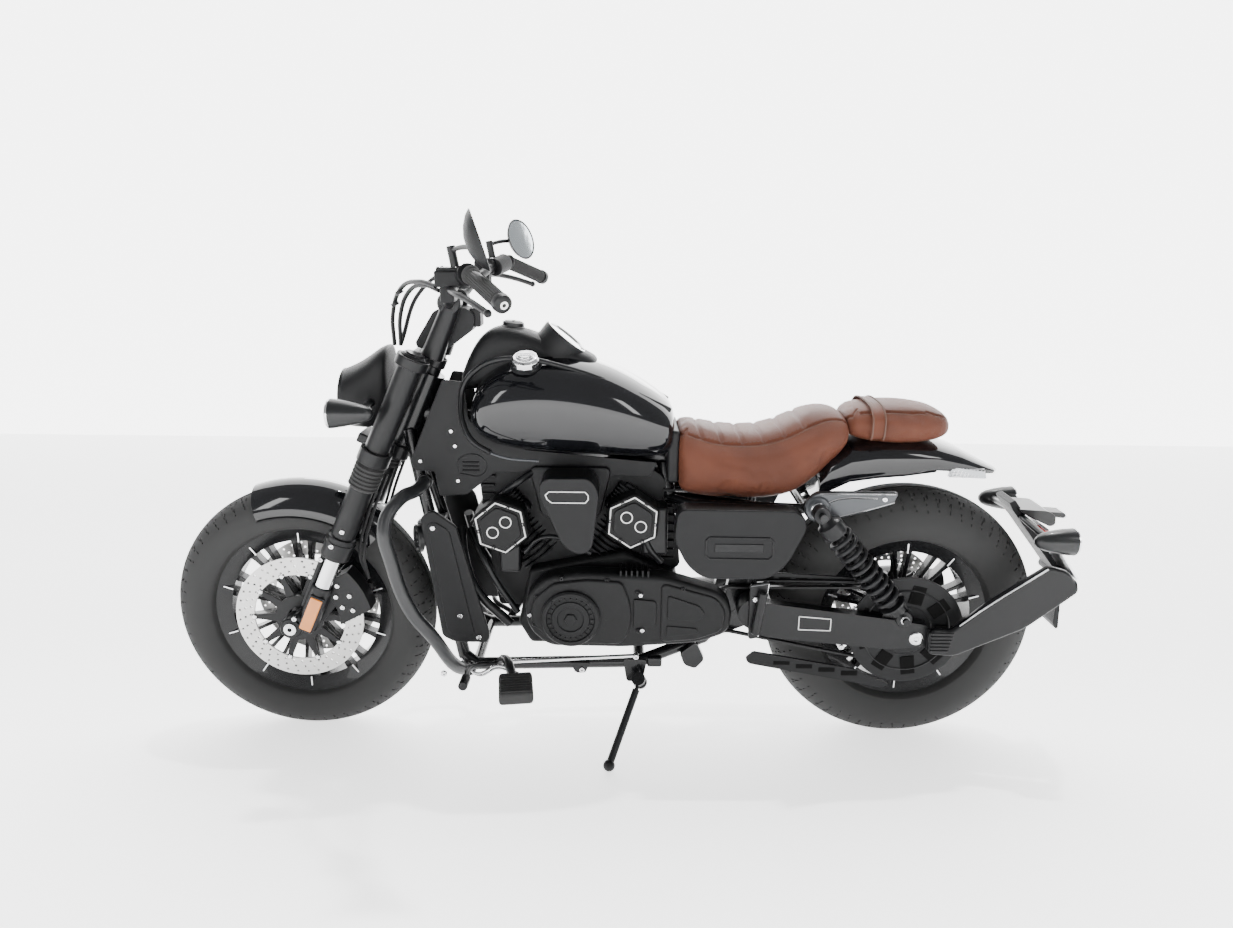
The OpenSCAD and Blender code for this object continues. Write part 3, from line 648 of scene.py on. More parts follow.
    def socket_head(self, place: Matrix, r: float = 7, height: float = 5) -> "Shape":
        """Adds a round bolt head with a hexagon socket on a frame's z axis."""
        self.turned([(0.45 * r, height), (0.8 * r, height), (r, 0.75 * height), (r, -1)], place, 20)
        return self.turned([(0, 0.3 * height), (0.45 * r, 0.3 * height), (0.45 * r, height)], place, 6)


@dataclass(frozen=True)
class Section:
    """One cross-section of a lofted body, square to the bike's length."""

    x: float
    low: float
    top: float
    half: float
    square_top: float = 2.4
    square_low: float = 2.4
    y: float = 0
    middle: float = 0.5

    def point(self, angle: float) -> Vector:
        """The section's point at an angle from the left, in radians."""
        c, s = math.cos(angle), math.sin(angle)
        power = 2 / (self.square_top if s > 0 else self.square_low)
        waist = self.low + (self.top - self.low) * self.middle
        reach = (self.top - waist) if s > 0 else (waist - self.low)
        side = math.copysign(abs(c) ** power, c)
        return Vector((self.x, self.y + self.half * side, waist + reach * math.copysign(abs(s) ** power, s)))


def thicken(part: bmesh.types.BMesh, way: Point) -> None:
    """Gives a flat part a thickness."""
    made = bmesh.ops.extrude_face_region(part, geom=list(part.faces))
    moved = [g for g in made["geom"] if isinstance(g, bmesh.types.BMVert)]
    bmesh.ops.translate(part, vec=way, verts=moved)


def bevel(part: bmesh.types.BMesh, edges: Iterable[bmesh.types.BMEdge], size: float, segments: int) -> None:
    """Rounds these edges."""
    bmesh.ops.bevel(part, geom=list(edges), offset=size, segments=segments, profile=0.5, affect="EDGES",
                    clamp_overlap=True, material=-1)


def cap_ends(part: bmesh.types.BMesh) -> None:
    """Closes the open ends of a turned shape."""
    bmesh.ops.holes_fill(part, edges=[e for e in part.edges if e.is_boundary], sides=0)


@dataclass
class Piece:
    """One finished object, and what it needs to ride and be seen."""

    name: str
    body: str
    finish: Finish
    replaces: tuple[str, ...] = ()
    smooth_angle: float = 35
    subdivide: int = 0
    round_edges: float = 0

    def make(self, shape: Shape) -> bpy.types.Object:
        """Turns a shape into the piece.

        Args:
            shape: The shape in the upright bike's millimetres, which is used up.

        Returns:
            The object, riding on its body.
        """
        bmesh.ops.transform(shape.mesh, matrix=BIKE.matrix, verts=shape.mesh.verts)
        return self.dress(as_mesh(self.name, shape.mesh))

    def dress(self, data: bpy.types.Mesh) -> bpy.types.Object:
        """Makes the object from a mesh that is in its place.

        Args:
            data: The mesh, in the row frame's metres.

        Returns:
            The object, riding on its body.
        """
        for face in data.polygons:
            face.use_smooth = True
        data.set_sharp_from_angle(angle=math.radians(self.smooth_angle))
        thing = linked(self.name, data)
        data.materials.append(self.finish.material())
        if self.round_edges:
            rounding = thing.modifiers.new("rounding", "BEVEL")
            rounding.width = self.round_edges * MM
            rounding.segments = 2
            rounding.limit_method = "ANGLE"
            rounding.angle_limit = math.radians(EDGE_ANGLE)
            rounding.harden_normals = False
        if self.subdivide:
            levels = thing.modifiers.new("smoothing", "SUBSURF")
            levels.levels = levels.render_levels = self.subdivide
        else:
            flats = thing.modifiers.new("flat_faces", "WEIGHTED_NORMAL")
            flats.keep_sharp = True
        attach(thing, self.body)
        if self.replaces:
            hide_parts(*self.replaces)
        LOG.info("%s: %d faces on %s", self.name, len(data.polygons), self.body)
        return thing


def refined(node: str, body: str, finish: Finish, edge: float, name: str) -> bpy.types.Object:
    """Copies a CAD node, joins its triangles and rounds its sharp edges.

    Args:
        node: The CAD node, which the copy replaces.
        body: The body it rides on.
        finish: Its finish.
        edge: How much its edges are rounded, in millimetres.
        name: The piece's name.

    Returns:
        The new piece.
    """
    part = bmesh.new()
    part.from_mesh(frame["nodes"][node].data)
    bmesh.ops.remove_doubles(part, verts=part.verts, dist=WELD_M)
    bmesh.ops.dissolve_limit(part, angle_limit=math.radians(FLAT_ANGLE), verts=part.verts, edges=part.edges)
    return Piece(name, body, finish, (node,), 30, 0, edge).dress(as_mesh(name, part))


def paint(node: str, finish: Finish) -> None:
    """Gives a CAD node that stays its finish."""
    thing = frame["nodes"][node]
    thing.data.materials.clear()
    thing.data.materials.append(finish.material())


# ---------------------------------------------------------------- wheels


TREAD_PITCHES = 64


@dataclass
class Wheel:
    """One wheel: tyre with tread and cast rim with machined edges."""

    name: str
    front: bool
    tyre_r: float
    tyre_c: float
    rim_r: float
    rim_half: float
    hub_r: float
    hub_half: float
    spokes: int = 10
    tread_steps: int = 528
    tread_depth: float = 2.6
    first_spoke: float = 18
    pair_half: float = 6.6
    section_steps: int = 56
    tread_half: float = 64
    ring_groove: Flat = (9, 12.5)

    @property
    def body(self) -> str:
        """The body that the wheel is."""
        return "front_wheel" if self.front else "rear_wheel"

    def build(self) -> None:
        """Makes the tyre and the rim."""
        self.place = BIKE.wheel(self.front)
        self.make_tyre()
        self.make_rim()
        self.make_spokes()
        self.make_trim()

    def section(self) -> list[Flat]:
        """The tyre's outline from one bead over the tread to the other.

        Returns:
            Points as (radius, distance to the left).
        """
        centre = self.tyre_r - self.tyre_c
        reach = math.degrees(math.acos((self.rim_r + 1 - centre) / self.tyre_c))
        count = self.section_steps
        points = []
        for i in range(count + 1):
            a = math.radians(-reach + 2 * reach * i / count)
            flat = 1 - 0.012 * math.cos(a) ** 8
            points.append((centre + self.tyre_c * math.cos(a) * flat, self.tyre_c * math.sin(a)))
        inner = self.rim_half - 17
        points += [(self.rim_r - 3, points[-1][1] * 0.93), (self.rim_r - 13, inner),
                   (self.rim_r - 13, -inner), (self.rim_r - 3, points[0][1] * 0.93)]
        return points

    def in_groove(self, across: float, turn: float) -> bool:
        """Whether a place on the tread is cut away.

        Args:
            across: Its angle round the tyre's section, in degrees from the middle.
            turn: Its angle round the wheel, in tread pitches.

        Returns:
            True in a groove.
        """
        side = abs(across)
        if side > self.tread_half:
            return False
        phase = turn + (0.5 if across > 0 else 0)
        if self.ring_groove[0] < side < self.ring_groove[1]:
            return True
        if side <= self.ring_groove[0]:
            return False
        slant = (phase + (side - 12) * 0.011) % 1
        long_cut = slant < 0.055 and side > 12
        short_cut = 0.5 < (phase + 0.2 - (side - 12) * 0.006) % 1 < 0.545 and 22 < side < 50
        return long_cut or short_cut

    def make_tyre(self) -> None:
        """Turns the tyre and sinks its grooves."""
        shape = Shape().turned(self.section(), Matrix.Identity(4), self.tread_steps, closed=True)
        centre = self.tyre_r - self.tyre_c
        cut = []
        for face in shape.mesh.faces:
            middle = face.calc_center_median()
            radius = math.hypot(middle.x, middle.y)
            if radius < centre:
                continue
            across = math.degrees(math.atan2(middle.z, radius - centre))
            turn = math.atan2(middle.y, middle.x) / math.tau * TREAD_PITCHES
            if self.in_groove(across, round(turn, 3)):
                cut.append(face)
        bmesh.ops.inset_region(shape.mesh, faces=cut, thickness=0.25, depth=-self.tread_depth,
                               use_even_offset=True)
        bmesh.ops.transform(shape.mesh, matrix=self.place, verts=shape.mesh.verts)
        Piece(self.name + "_tyre_tread", self.body, TYRE, (self.name + "_tyre",), 28).make(shape)

    def make_rim(self) -> None:
        """Turns the barrel with its flanges, and the hub with its bosses."""
        r, w = self.rim_r, self.rim_half
        shape = Shape()
        outer = [(r - 42, -w + 18), (r - 20, -w + 8), (r - 7, -w + 3), (r - 4, -w + 0.5), (r - 1, -w + 0.5),
                 (r, -w + 3), (r - 1, -w + 7), (r - 12, -w + 15), (r - 14, -w + 18)]
        profile = outer + [(radius, -height) for radius, height in reversed(outer)]
        shape.turned(profile, self.place, 120, closed=True)
        h, hh = self.hub_r, self.hub_half
        shape.turned([(10.6, -hh), (h - 8, -hh), (h - 5, -hh + 3), (h - 5, -30), (h + 6, -20), (h + 6, 20),
                      (h - 5, 30), (h - 5, hh - 3), (h - 8, hh), (10.6, hh)], self.place, 72, closed=True)
        Piece(self.name + "_rim_barrel", self.body, FRAME_BLACK, (self.name + "_rim",), 30).make(shape)

    def spoke_outline(self) -> list[Flat]:
        """One arm of a spoke pair, in its own plane: x outwards, z to the side."""
        inner, outer = self.hub_r, self.rim_r - 36
        reach = outer - inner
        edge = [(0, 15), (0.25, 9), (0.6, 7.5), (0.86, 9.5), (1, 14)]
        top = [(inner + reach * t, half) for t, half in edge]
        return top + [(x, -half) for x, half in reversed(top)]

    def make_spokes(self) -> None:
        """Makes the spoke pairs, dished towards the rim, with a web near the hub."""
        one = Shape()
        for side in (-1, 1):
            lay = self.place @ rotated(self.first_spoke + side * self.pair_half, "Z") @ rotated(90, "X")
            one.plate([(x, z * 0.62) for x, z in self.spoke_outline()], -15, 15, 0, 2.2, place=lay)
        web = [(self.hub_r - 2, -13), (self.hub_r + 44, -17), (self.hub_r + 34, 0), (self.hub_r + 44, 17),
               (self.hub_r - 2, 13)]
        lay = self.place @ rotated(self.first_spoke, "Z") @ rotated(90, "X")
        one.plate(web, -11, 11, 0, 1.5, place=lay)
        one.around(self.spokes, self.place)
        Piece(self.name + "_spokes", self.body, FRAME_BLACK, (), 32).make(one)

    def make_trim(self) -> None:
        """Adds the machined line round each flange and the bright end of every spoke."""
        r, w = self.rim_r, self.rim_half
        ring = Shape()
        for side in (-1, 1):
            profile = [(r - 5.5, side * (w - 0.2)), (r - 4.5, side * (w + 0.8)),
                       (r - 1.5, side * (w + 0.8)), (r - 0.6, side * (w - 0.4))]
            ring.turned(profile, self.place, 160, closed=True)
        Piece(self.name + "_rim_line", self.body, MACHINED, (), 40).make(ring)
        ticks = Shape()
        for side in (-1, 1):
            turn = self.place @ rotated(self.first_spoke, "Z")
            ticks.box((r - 44, -1.8, side * (w - 9) - 1), (r - 9, 1.8, side * (w - 9) + 1.4), 0.6, turn)
        ticks.around(self.spokes, self.place)
        Piece(self.name + "_rim_ticks", self.body, MACHINED, (), 40).make(ticks)


@dataclass
class BrakeDisc:
    """A drilled steel disc on a black carrier with fingers and bright rivets."""

    name: str
    body: str
    place: Matrix
    replaces: tuple[str, ...]
    r: float
    band: float
    carrier_r: float
    hub_r: float
    thick: float = 4.6
    fingers: int = 10
    sectors: int = 36
    hole_r: float = 3.1
    hole_sides: int = 8

    def build(self, both_sides: bool) -> None:
        """Makes the disc, its carrier and its rivets.

        Args:
            both_sides: Whether there is one on each side of the wheel.
        """
        band = Shape()
        self.make_band(band)
        carrier = Shape().turned([(self.hub_r, -6), (self.hub_r, 6), (self.carrier_r * 0.62, 6),
                                  (self.carrier_r * 0.62, -2), (self.hub_r + 10, -6)], self.place, 72,
                                 closed=True)
        arm = Shape()
        inner, outer = self.carrier_r * 0.55, self.r - self.band + 6
        arm.plate([(inner, -12), (outer - 14, -6), (outer, -8), (outer, 8), (outer - 14, 6), (inner, 12)],
                  -3.4, 3.4, 0, 1.2, place=self.place @ rotated(90, "X"))
        arm.around(self.fingers, self.place)
        carrier.take(arm.mesh)
        rivets = Shape()
        spot = self.place @ Matrix.Translation((self.r - self.band + 1, 0, 0))
        rivets.turned([(0, -5.2), (4.5, -5.2), (6, -4), (6, 4), (4.5, 5.2), (0, 5.2)], spot, 16)
        rivets.around(self.fingers, self.place)
        for shape, finish, tag, gone in ((band, BRAKE_STEEL, "_band", self.replaces),
                                         (carrier, SATIN_BLACK, "_carrier", ()),
                                         (rivets, BRIGHT, "_rivets", ())):
            if both_sides:
                shape.mirrored()
            Piece(self.name + tag, self.body, finish, gone, 35).make(shape)

    def make_band(self, band: Shape) -> None:
        """Cuts one sector of the band with its holes and repeats it.

        Args:
            band: The shape to add it to.
        """
        half = math.pi / self.sectors
        part = bmesh.new()
        inner, outer = self.r - self.band, self.r
        rim = [(outer, -half), (outer, 0), (outer, half), (inner, half), (inner, 0), (inner, -half)]
        loops = [[(r * math.cos(a), r * math.sin(a)) for r, a in rim]]
        for share, angle in ((0.2, -0.5), (0.5, 0.1), (0.8, 0.62)):
            centre, turn = inner + self.band * share, angle * half
            x, y = centre * math.cos(turn), centre * math.sin(turn)
            steps = [math.tau * t / self.hole_sides for t in range(self.hole_sides)]
            loops.append([(x + self.hole_r * math.cos(a), y + self.hole_r * math.sin(a)) for a in steps])
        for loop in loops:
            corners = [part.verts.new((x, y, -self.thick / 2)) for x, y in loop]
            for i, corner in enumerate(corners):
                part.edges.new((corner, corners[(i + 1) % len(corners)]))
        bmesh.ops.triangle_fill(part, use_beauty=True, use_dissolve=False, edges=list(part.edges))
        thicken(part, (0, 0, self.thick))
        ends = [f for f in part.faces if abs(f.normal.z) < 0.5 and self.is_sector_end(f, half)]
        bmesh.ops.delete(part, geom=ends, context="FACES")
        whole = part.copy()
        for i in range(1, self.sectors):
            copy = part.copy()
            turn = Matrix.Rotation(math.tau * i / self.sectors, 3, "Z")
            bmesh.ops.rotate(copy, cent=(0, 0, 0), matrix=turn, verts=copy.verts)
            data = as_mesh("sector", copy)
            whole.from_mesh(data)
            bpy.data.meshes.remove(data)
        part.free()
        bmesh.ops.remove_doubles(whole, verts=whole.verts, dist=0.01)
        band.take(whole, self.place)

    def is_sector_end(self, face: bmesh.types.BMFace, half: float) -> bool:
        """Whether a face lies on one of the sector's two cut ends."""
        turns = [abs(abs(math.atan2(v.co.y, v.co.x)) - half) for v in face.verts]
        return max(turns) < 1e-4


# ---------------------------------------------------------------- tank and console


@dataclass
class Tank:
    """Gloss tank with its border strip, the ridge console, the gauge and the filler cap."""

    sections: tuple[Section, ...] = (
        Section(1064, 836, 884, 70, 2, 2),
        Section(1058, 812, 906, 112, 2.2, 2.2),
        Section(1036, 790, 942, 136, 2.4, 2.6),
        Section(985, 772, 980, 150, 2.4, 3.0),
        Section(900, 764, 998, 156, 2.4, 3.0),
        Section(820, 760, 990, 156, 2.4, 3.0),
        Section(740, 756, 968, 150, 2.4, 3.0),
        Section(670, 752, 934, 138, 2.4, 3.0),
        Section(622, 752, 902, 122, 2.4, 3.0),
        Section(596, 758, 880, 106, 2.4, 2.8),
        Section(582, 776, 858, 84, 2.2, 2.4),
    )
    console: tuple[Section, ...] = (
        Section(1094, 904, 930, 20, 2.4, 2.4),
        Section(1078, 900, 972, 38, 2.6, 2.4),
        Section(1050, 904, 1026, 47, 2.8, 2.4),
        Section(1014, 915, 1054, 51, 3.0, 2.4),
        Section(975, 915, 1058, 53, 3.4, 2.4),
        Section(930, 920, 1046, 54, 3.4, 2.4),
        Section(880, 920, 1028, 55, 3.4, 2.4),
        Section(820, 920, 1008, 54, 3.2, 2.4),
        Section(780, 920, 990, 50, 2.8, 2.4),
        Section(766, 930, 978, 40, 2.4, 2.4),
    )
    strip: tuple[Point, ...] = (
        (596, 66, 868), (641, 84, 893), (733, 96, 936), (846, 100, 974), (930, 97, 990), (1000, 88, 984),
        (1046, 76, 960), (1076, 70, 925), (1084, 78, 880), (1076, 100, 838), (1052, 120, 802),
        (1010, 132, 778))

    def build(self) -> None:
        """Makes the tank and everything on it."""
        Piece("fuel_tank_shell", "chassis", GLOSS_BLACK, ("fuel_tank",), 60, 2).make(
            Shape().loft(self.sections, 28))
        self.make_strip()
        self.make_flank()
        self.make_console()
        self.make_cap()

    def make_strip(self) -> None:
        """Lays the border strip over both shoulders and round the front."""
        shape = Shape().tube(self.strip, 6.5, 16, resolution=10)
        Piece("tank_border_strip", "chassis", SATIN_BLACK, ("fuel_tank",), 60).make(shape.mirrored())
        rest = Shape().box((572, -84, 694), (600, 84, 822), 8)
        Piece("tank_rear_rest", "chassis", MATTE_BLACK, (), 40).make(rest)

    def make_flank(self) -> None:
        """Adds the bright-edged seam below the tank."""
        shape = Shape().tube([(1040, 112, 784), (980, 122, 764), (900, 124, 757)], 3.2, 12)
        Piece("tank_lower_seam", "chassis", STRUT_GREY, (), 60).make(shape.mirrored())

    def make_console(self) -> None:
        """Builds the console with the ignition boss and the slanted gauge."""
        shape = Shape().loft(self.console, 24)
        Piece("tank_console_cover", "chassis", MATTE_BLACK, ("tank_console",), 60, 2).make(shape)
        boss = Shape()
        spot = Matrix.Translation((968, 0, 1046)) @ rotated(-6, "Y")
        boss.turned([(0, 19), (20, 19), (25, 16), (26, 8), (29, 6), (30, -6), (0, -6)], spot, 40)
        boss.box((-3, -9, 18), (3, 9, 21), 1, spot)
        Piece("ignition_boss", "chassis", SATIN_BLACK).make(boss)
        pod = Matrix.Translation((859, 0, 1005)) @ rotated(-38.5, "Y")
        gauge = Shape().turned([(0, 26), (48, 26), (52, 30), (57, 30), (59, 26), (59, 4), (62, -20),
                                (0, -20)], pod, 64)
        Piece("gauge_pod", "chassis", MATTE_BLACK).make(gauge)
        ring = Shape().turned([(49, 29), (52, 32), (55, 31.6), (54, 28)], pod, 64, closed=True)
        Piece("gauge_ring", "chassis", BRIGHT, (), 40).make(ring)
        glass = Shape().turned([(0, 30.5), (25, 30), (50, 28.6), (50, 26), (0, 26)], pod, 48)
        Piece("gauge_glass", "chassis", SMOKED, (), 40).make(glass)

    def make_cap(self) -> None:
        """Turns the faceted filler cap on its black neck."""
        spot = Matrix.Translation((929, 92, 972)) @ rotated(-24, "X")
        neck = Shape().turned([(0, 0), (36, 0), (37, 6), (33, 10), (0, 10)], spot, 48)
        Piece("filler_neck", "chassis", SATIN_BLACK).make(neck)
        cap = Shape().turned([(0, 30), (20, 30), (22, 27), (27, 27), (33, 22), (33, 9), (0, 9)], spot, 12)
        cap.turned([(0, 33), (15, 33), (18, 30), (18, 24), (0, 24)], spot, 40)
        cap.box((-14, -3, 30), (14, 3, 37), 1.5, spot)
        Piece("filler_cap", "chassis", BRIGHT, (), 22, 0, 1.2).make(cap)


# ---------------------------------------------------------------- seats


@dataclass
class Seat:
    """A padded leather seat, swollen by cloth simulation, with sewn channels and stitches."""

    name: str
    node: str
    sections: tuple[Section, ...]
    channels: tuple[float, ...]
    seam_angle: float
    voxel: float = 0.005
    pressure: float = 4
    most_move: float = 0.006
    groove: float = 0.0042
    stitch_gap: float = 9
    stitch_half: float = 5.5
    cloth_frames: int = 20
    stiffness: float = 18
    seam_width: float = 3.4
    channel_width: float = 5.2
    channel_bow: float = 10

    def build(self) -> None:
        """Swells the pad, sinks the seams and sews them."""
        pad = self.pad_mesh()
        self.sink_seams(pad)
        piece = Piece(self.name, "chassis", LEATHER, (self.node,), 180).dress(pad)
        self.sew(piece)

    def pad_mesh(self) -> bpy.types.Mesh:
        """The pad's mesh after the simulation, in the row frame.

        Returns:
            The smooth swollen mesh.
        """
        shape = Shape().loft(self.sections, 40)
        bmesh.ops.transform(shape.mesh, matrix=BIKE.matrix, verts=shape.mesh.verts)
        pad = linked("pad", as_mesh("pad", shape.mesh))
        smooth = pad.modifiers.new("smooth", "SUBSURF")
        smooth.levels = smooth.render_levels = 1
        cells = pad.modifiers.new("cells", "REMESH")
        cells.mode = "VOXEL"
        cells.voxel_size = self.voxel
        data = self.applied(pad)
        data = self.swollen(data)
        return self.finer(data)

    def applied(self, thing: bpy.types.Object) -> bpy.types.Mesh:
        """A thing's mesh with its modifiers applied; the thing itself goes."""
        view = bpy.context.evaluated_depsgraph_get()
        data = bpy.data.meshes.new_from_object(thing.evaluated_get(view))
        bpy.data.objects.remove(thing)
        return data

    def swollen(self, data: bpy.types.Mesh) -> bpy.types.Mesh:
        """Blows the pad up as cloth and caps how far each point moves.

        Args:
            data: The remeshed pad.

        Returns:
            The swollen mesh.
        """
        rest = [vert.co.copy() for vert in data.vertices]
        pad = linked("pad", data)
        cloth = pad.modifiers.new("cloth", "CLOTH")
        cloth.settings.use_pressure = True
        cloth.settings.uniform_pressure_force = self.pressure
        cloth.settings.effector_weights.gravity = 0
        cloth.settings.quality = 4
        cloth.settings.tension_stiffness = cloth.settings.compression_stiffness = self.stiffness
        cloth.point_cache.frame_end = self.cloth_frames
        for number in range(1, self.cloth_frames + 1):
            bpy.context.scene.frame_set(number)
        made = self.applied(pad)
        for vert, start in zip(made.vertices, rest):
            move = vert.co - start
            if move.length > self.most_move:
                vert.co = start + move * (self.most_move / move.length)
        bpy.context.scene.frame_set(1)
        return made

    def finer(self, data: bpy.types.Mesh) -> bpy.types.Mesh:
        """The mesh smoothed and subdivided once."""
        part = bmesh.new()
        part.from_mesh(data)
        for _ in range(3):
            bmesh.ops.smooth_vert(part, verts=part.verts, factor=0.5, use_axis_x=True, use_axis_y=True,
                                  use_axis_z=True)
        bmesh.ops.subdivide_edges(part, edges=part.edges, cuts=1, use_grid_fill=True, smooth=0.6)
        return as_mesh(self.name, part)

    def seam_y(self, x: float) -> float:
        """How far from the middle the top panel's seam runs at x."""
        a, b = sorted(self.sections, key=lambda section: abs(section.x - x))[:2]
        share = 0 if a.x == b.x else min(1, abs(x - a.x) / abs(b.x - a.x))
        half = a.half + (b.half - a.half) * share
        return half * self.seam_angle

    def sink_seams(self, data: bpy.types.Mesh) -> None:
        """Presses the channels and the seams into the pad.

        Args:
            data: The pad's mesh, which is changed.
        """
        back = BIKE.matrix.inverted()
        turn = BIKE.matrix.to_3x3().normalized()
        data.update()
        moves = []
        for vert in data.vertices:
            spot = back @ vert.co
            up = (turn.inverted() @ vert.normal).z
            seam = abs(abs(spot.y) - self.seam_y(spot.x))
            depth = 0.9 * math.exp(-((seam / self.seam_width) ** 2)) * min(1, max(0, up + 0.15) * 4)
            if abs(spot.y) < self.seam_y(spot.x) and up > 0.2:
                bow = self.channel_bow * (1 - (spot.y / self.seam_y(spot.x)) ** 2)
                for line in self.channels:
                    depth = max(depth, math.exp(-(((spot.x - line - bow) / self.channel_width) ** 2)))
            moves.append(depth * self.groove)
        shifts = [vert.normal * move for vert, move in zip(data.vertices, moves)]
        for vert, shift in zip(data.vertices, shifts):
            vert.co -= shift

    def sew(self, piece: bpy.types.Object) -> None:
        """Adds a row of stitches on each side of the panel's seams.

        Args:
            piece: The finished pad.
        """
        bpy.context.evaluated_depsgraph_get()  # ray_cast needs an evaluated mesh
        threads = Shape()
        back = BIKE.matrix.inverted()
        down = (BIKE.matrix.to_3x3() @ Vector((0, 0, -1))).normalized()
        lines = []
        first, last = self.sections[1].x, self.sections[-2].x
        steps = int(abs(last - first) / self.stitch_gap)
        for side in (-1, 1):
            for shift in (-self.stitch_half, self.stitch_half):
                xs = [first + (last - first) * i / steps for i in range(steps)]
                lines += [(x, x - self.stitch_half, side * (self.seam_y(x) + shift)) for x in xs]
        for start, end, y in lines:
            spots = []
            for x in (start, end):
                origin = BIKE.matrix @ Vector((x, y, 1000))
                hit, where, normal, _ = piece.ray_cast(origin, down, distance=1)
                if hit:
                    spots.append(back @ (where + normal * 0.0004))
            if len(spots) == 2 and (spots[0] - spots[1]).length < 12:
                threads.bar(spots[0], spots[1], 0.8, sides=6)
        Piece(self.name + "_stitches", "chassis", THREAD, (), 60).make(threads)


FRONT_SEAT = Seat(
    "front_seat_pad", "front_seat",
    (
        Section(576, 676, 826, 88, 3.2, 4.5),
        Section(566, 670, 834, 104, 3.0, 4.5),
        Section(530, 665, 824, 120, 2.8, 4.5),
        Section(480, 664, 812, 127, 2.7, 4.5),
        Section(420, 664, 808, 129, 2.7, 4.5),
        Section(370, 664, 812, 129, 2.7, 4.5),
        Section(325, 668, 828, 127, 2.7, 4.2),
        Section(285, 682, 849, 124, 2.7, 3.8),
        Section(250, 712, 865, 119, 2.6, 3.4),
        Section(218, 742, 870, 112, 2.6, 3.0),
        Section(190, 770, 864, 102, 2.4, 2.8),
        Section(170, 796, 846, 84, 2.2, 2.4),
    ),
    (520, 473, 424, 375, 327, 283), 0.72)

PILLION_SEAT = Seat(
    "pillion_seat_pad", "pillion_seat",
    (
        Section(184, 818, 856, 56, 2.4, 3.0),
        Section(168, 804, 873, 80, 2.6, 3.6),
        Section(120, 797, 882, 95, 2.7, 4.0),
        Section(50, 791, 883, 97, 2.7, 4.0),
        Section(-20, 797, 878, 92, 2.7, 4.0),
        Section(-52, 806, 866, 80, 2.5, 3.4),
        Section(-70, 818, 848, 56, 2.4, 2.8),
    ),
    (), 0.78)


@dataclass
class PillionTrim:
    """The leather strap over the pillion seat, with its piping."""

    x0: float = 128
    x1: float = 100

    def build(self) -> None:
        """Wraps the strap round the pad."""
        a, b = PILLION_SEAT.sections[2], PILLION_SEAT.sections[3]
        strap, piping = Shape(), Shape()
        angles = [math.radians(t) for t in range(-34, 215, 6)]
        for x in (self.x0, self.x1):
            share = (a.x - x) / (a.x - b.x)
            half = a.half + (b.half - a.half) * share + 3
            ring = Section(x, a.low - 1, a.top + (b.top - a.top) * share + 4.5, half + 3.5, 2.7, 4.0)
            piping.tube([tuple(ring.point(t)) for t in angles], 2.2, 8, resolution=3)
        rings = [Section(x, a.low + 1, a.top + 4.5, a.half + 6, 2.7, 4.0) for x in (self.x0, self.x1)]
        strap.loft(rings, 64, open_low=True)
        thin = [f for f in strap.mesh.faces if len(f.verts) > 4]
        bmesh.ops.delete(strap.mesh, geom=thin, context="FACES")
        Piece("pillion_strap", "chassis", LEATHER, (), 60).make(strap)
        Piece("pillion_strap_piping", "chassis", THREAD, (), 60).make(piping)


# ---------------------------------------------------------------- fenders and covers


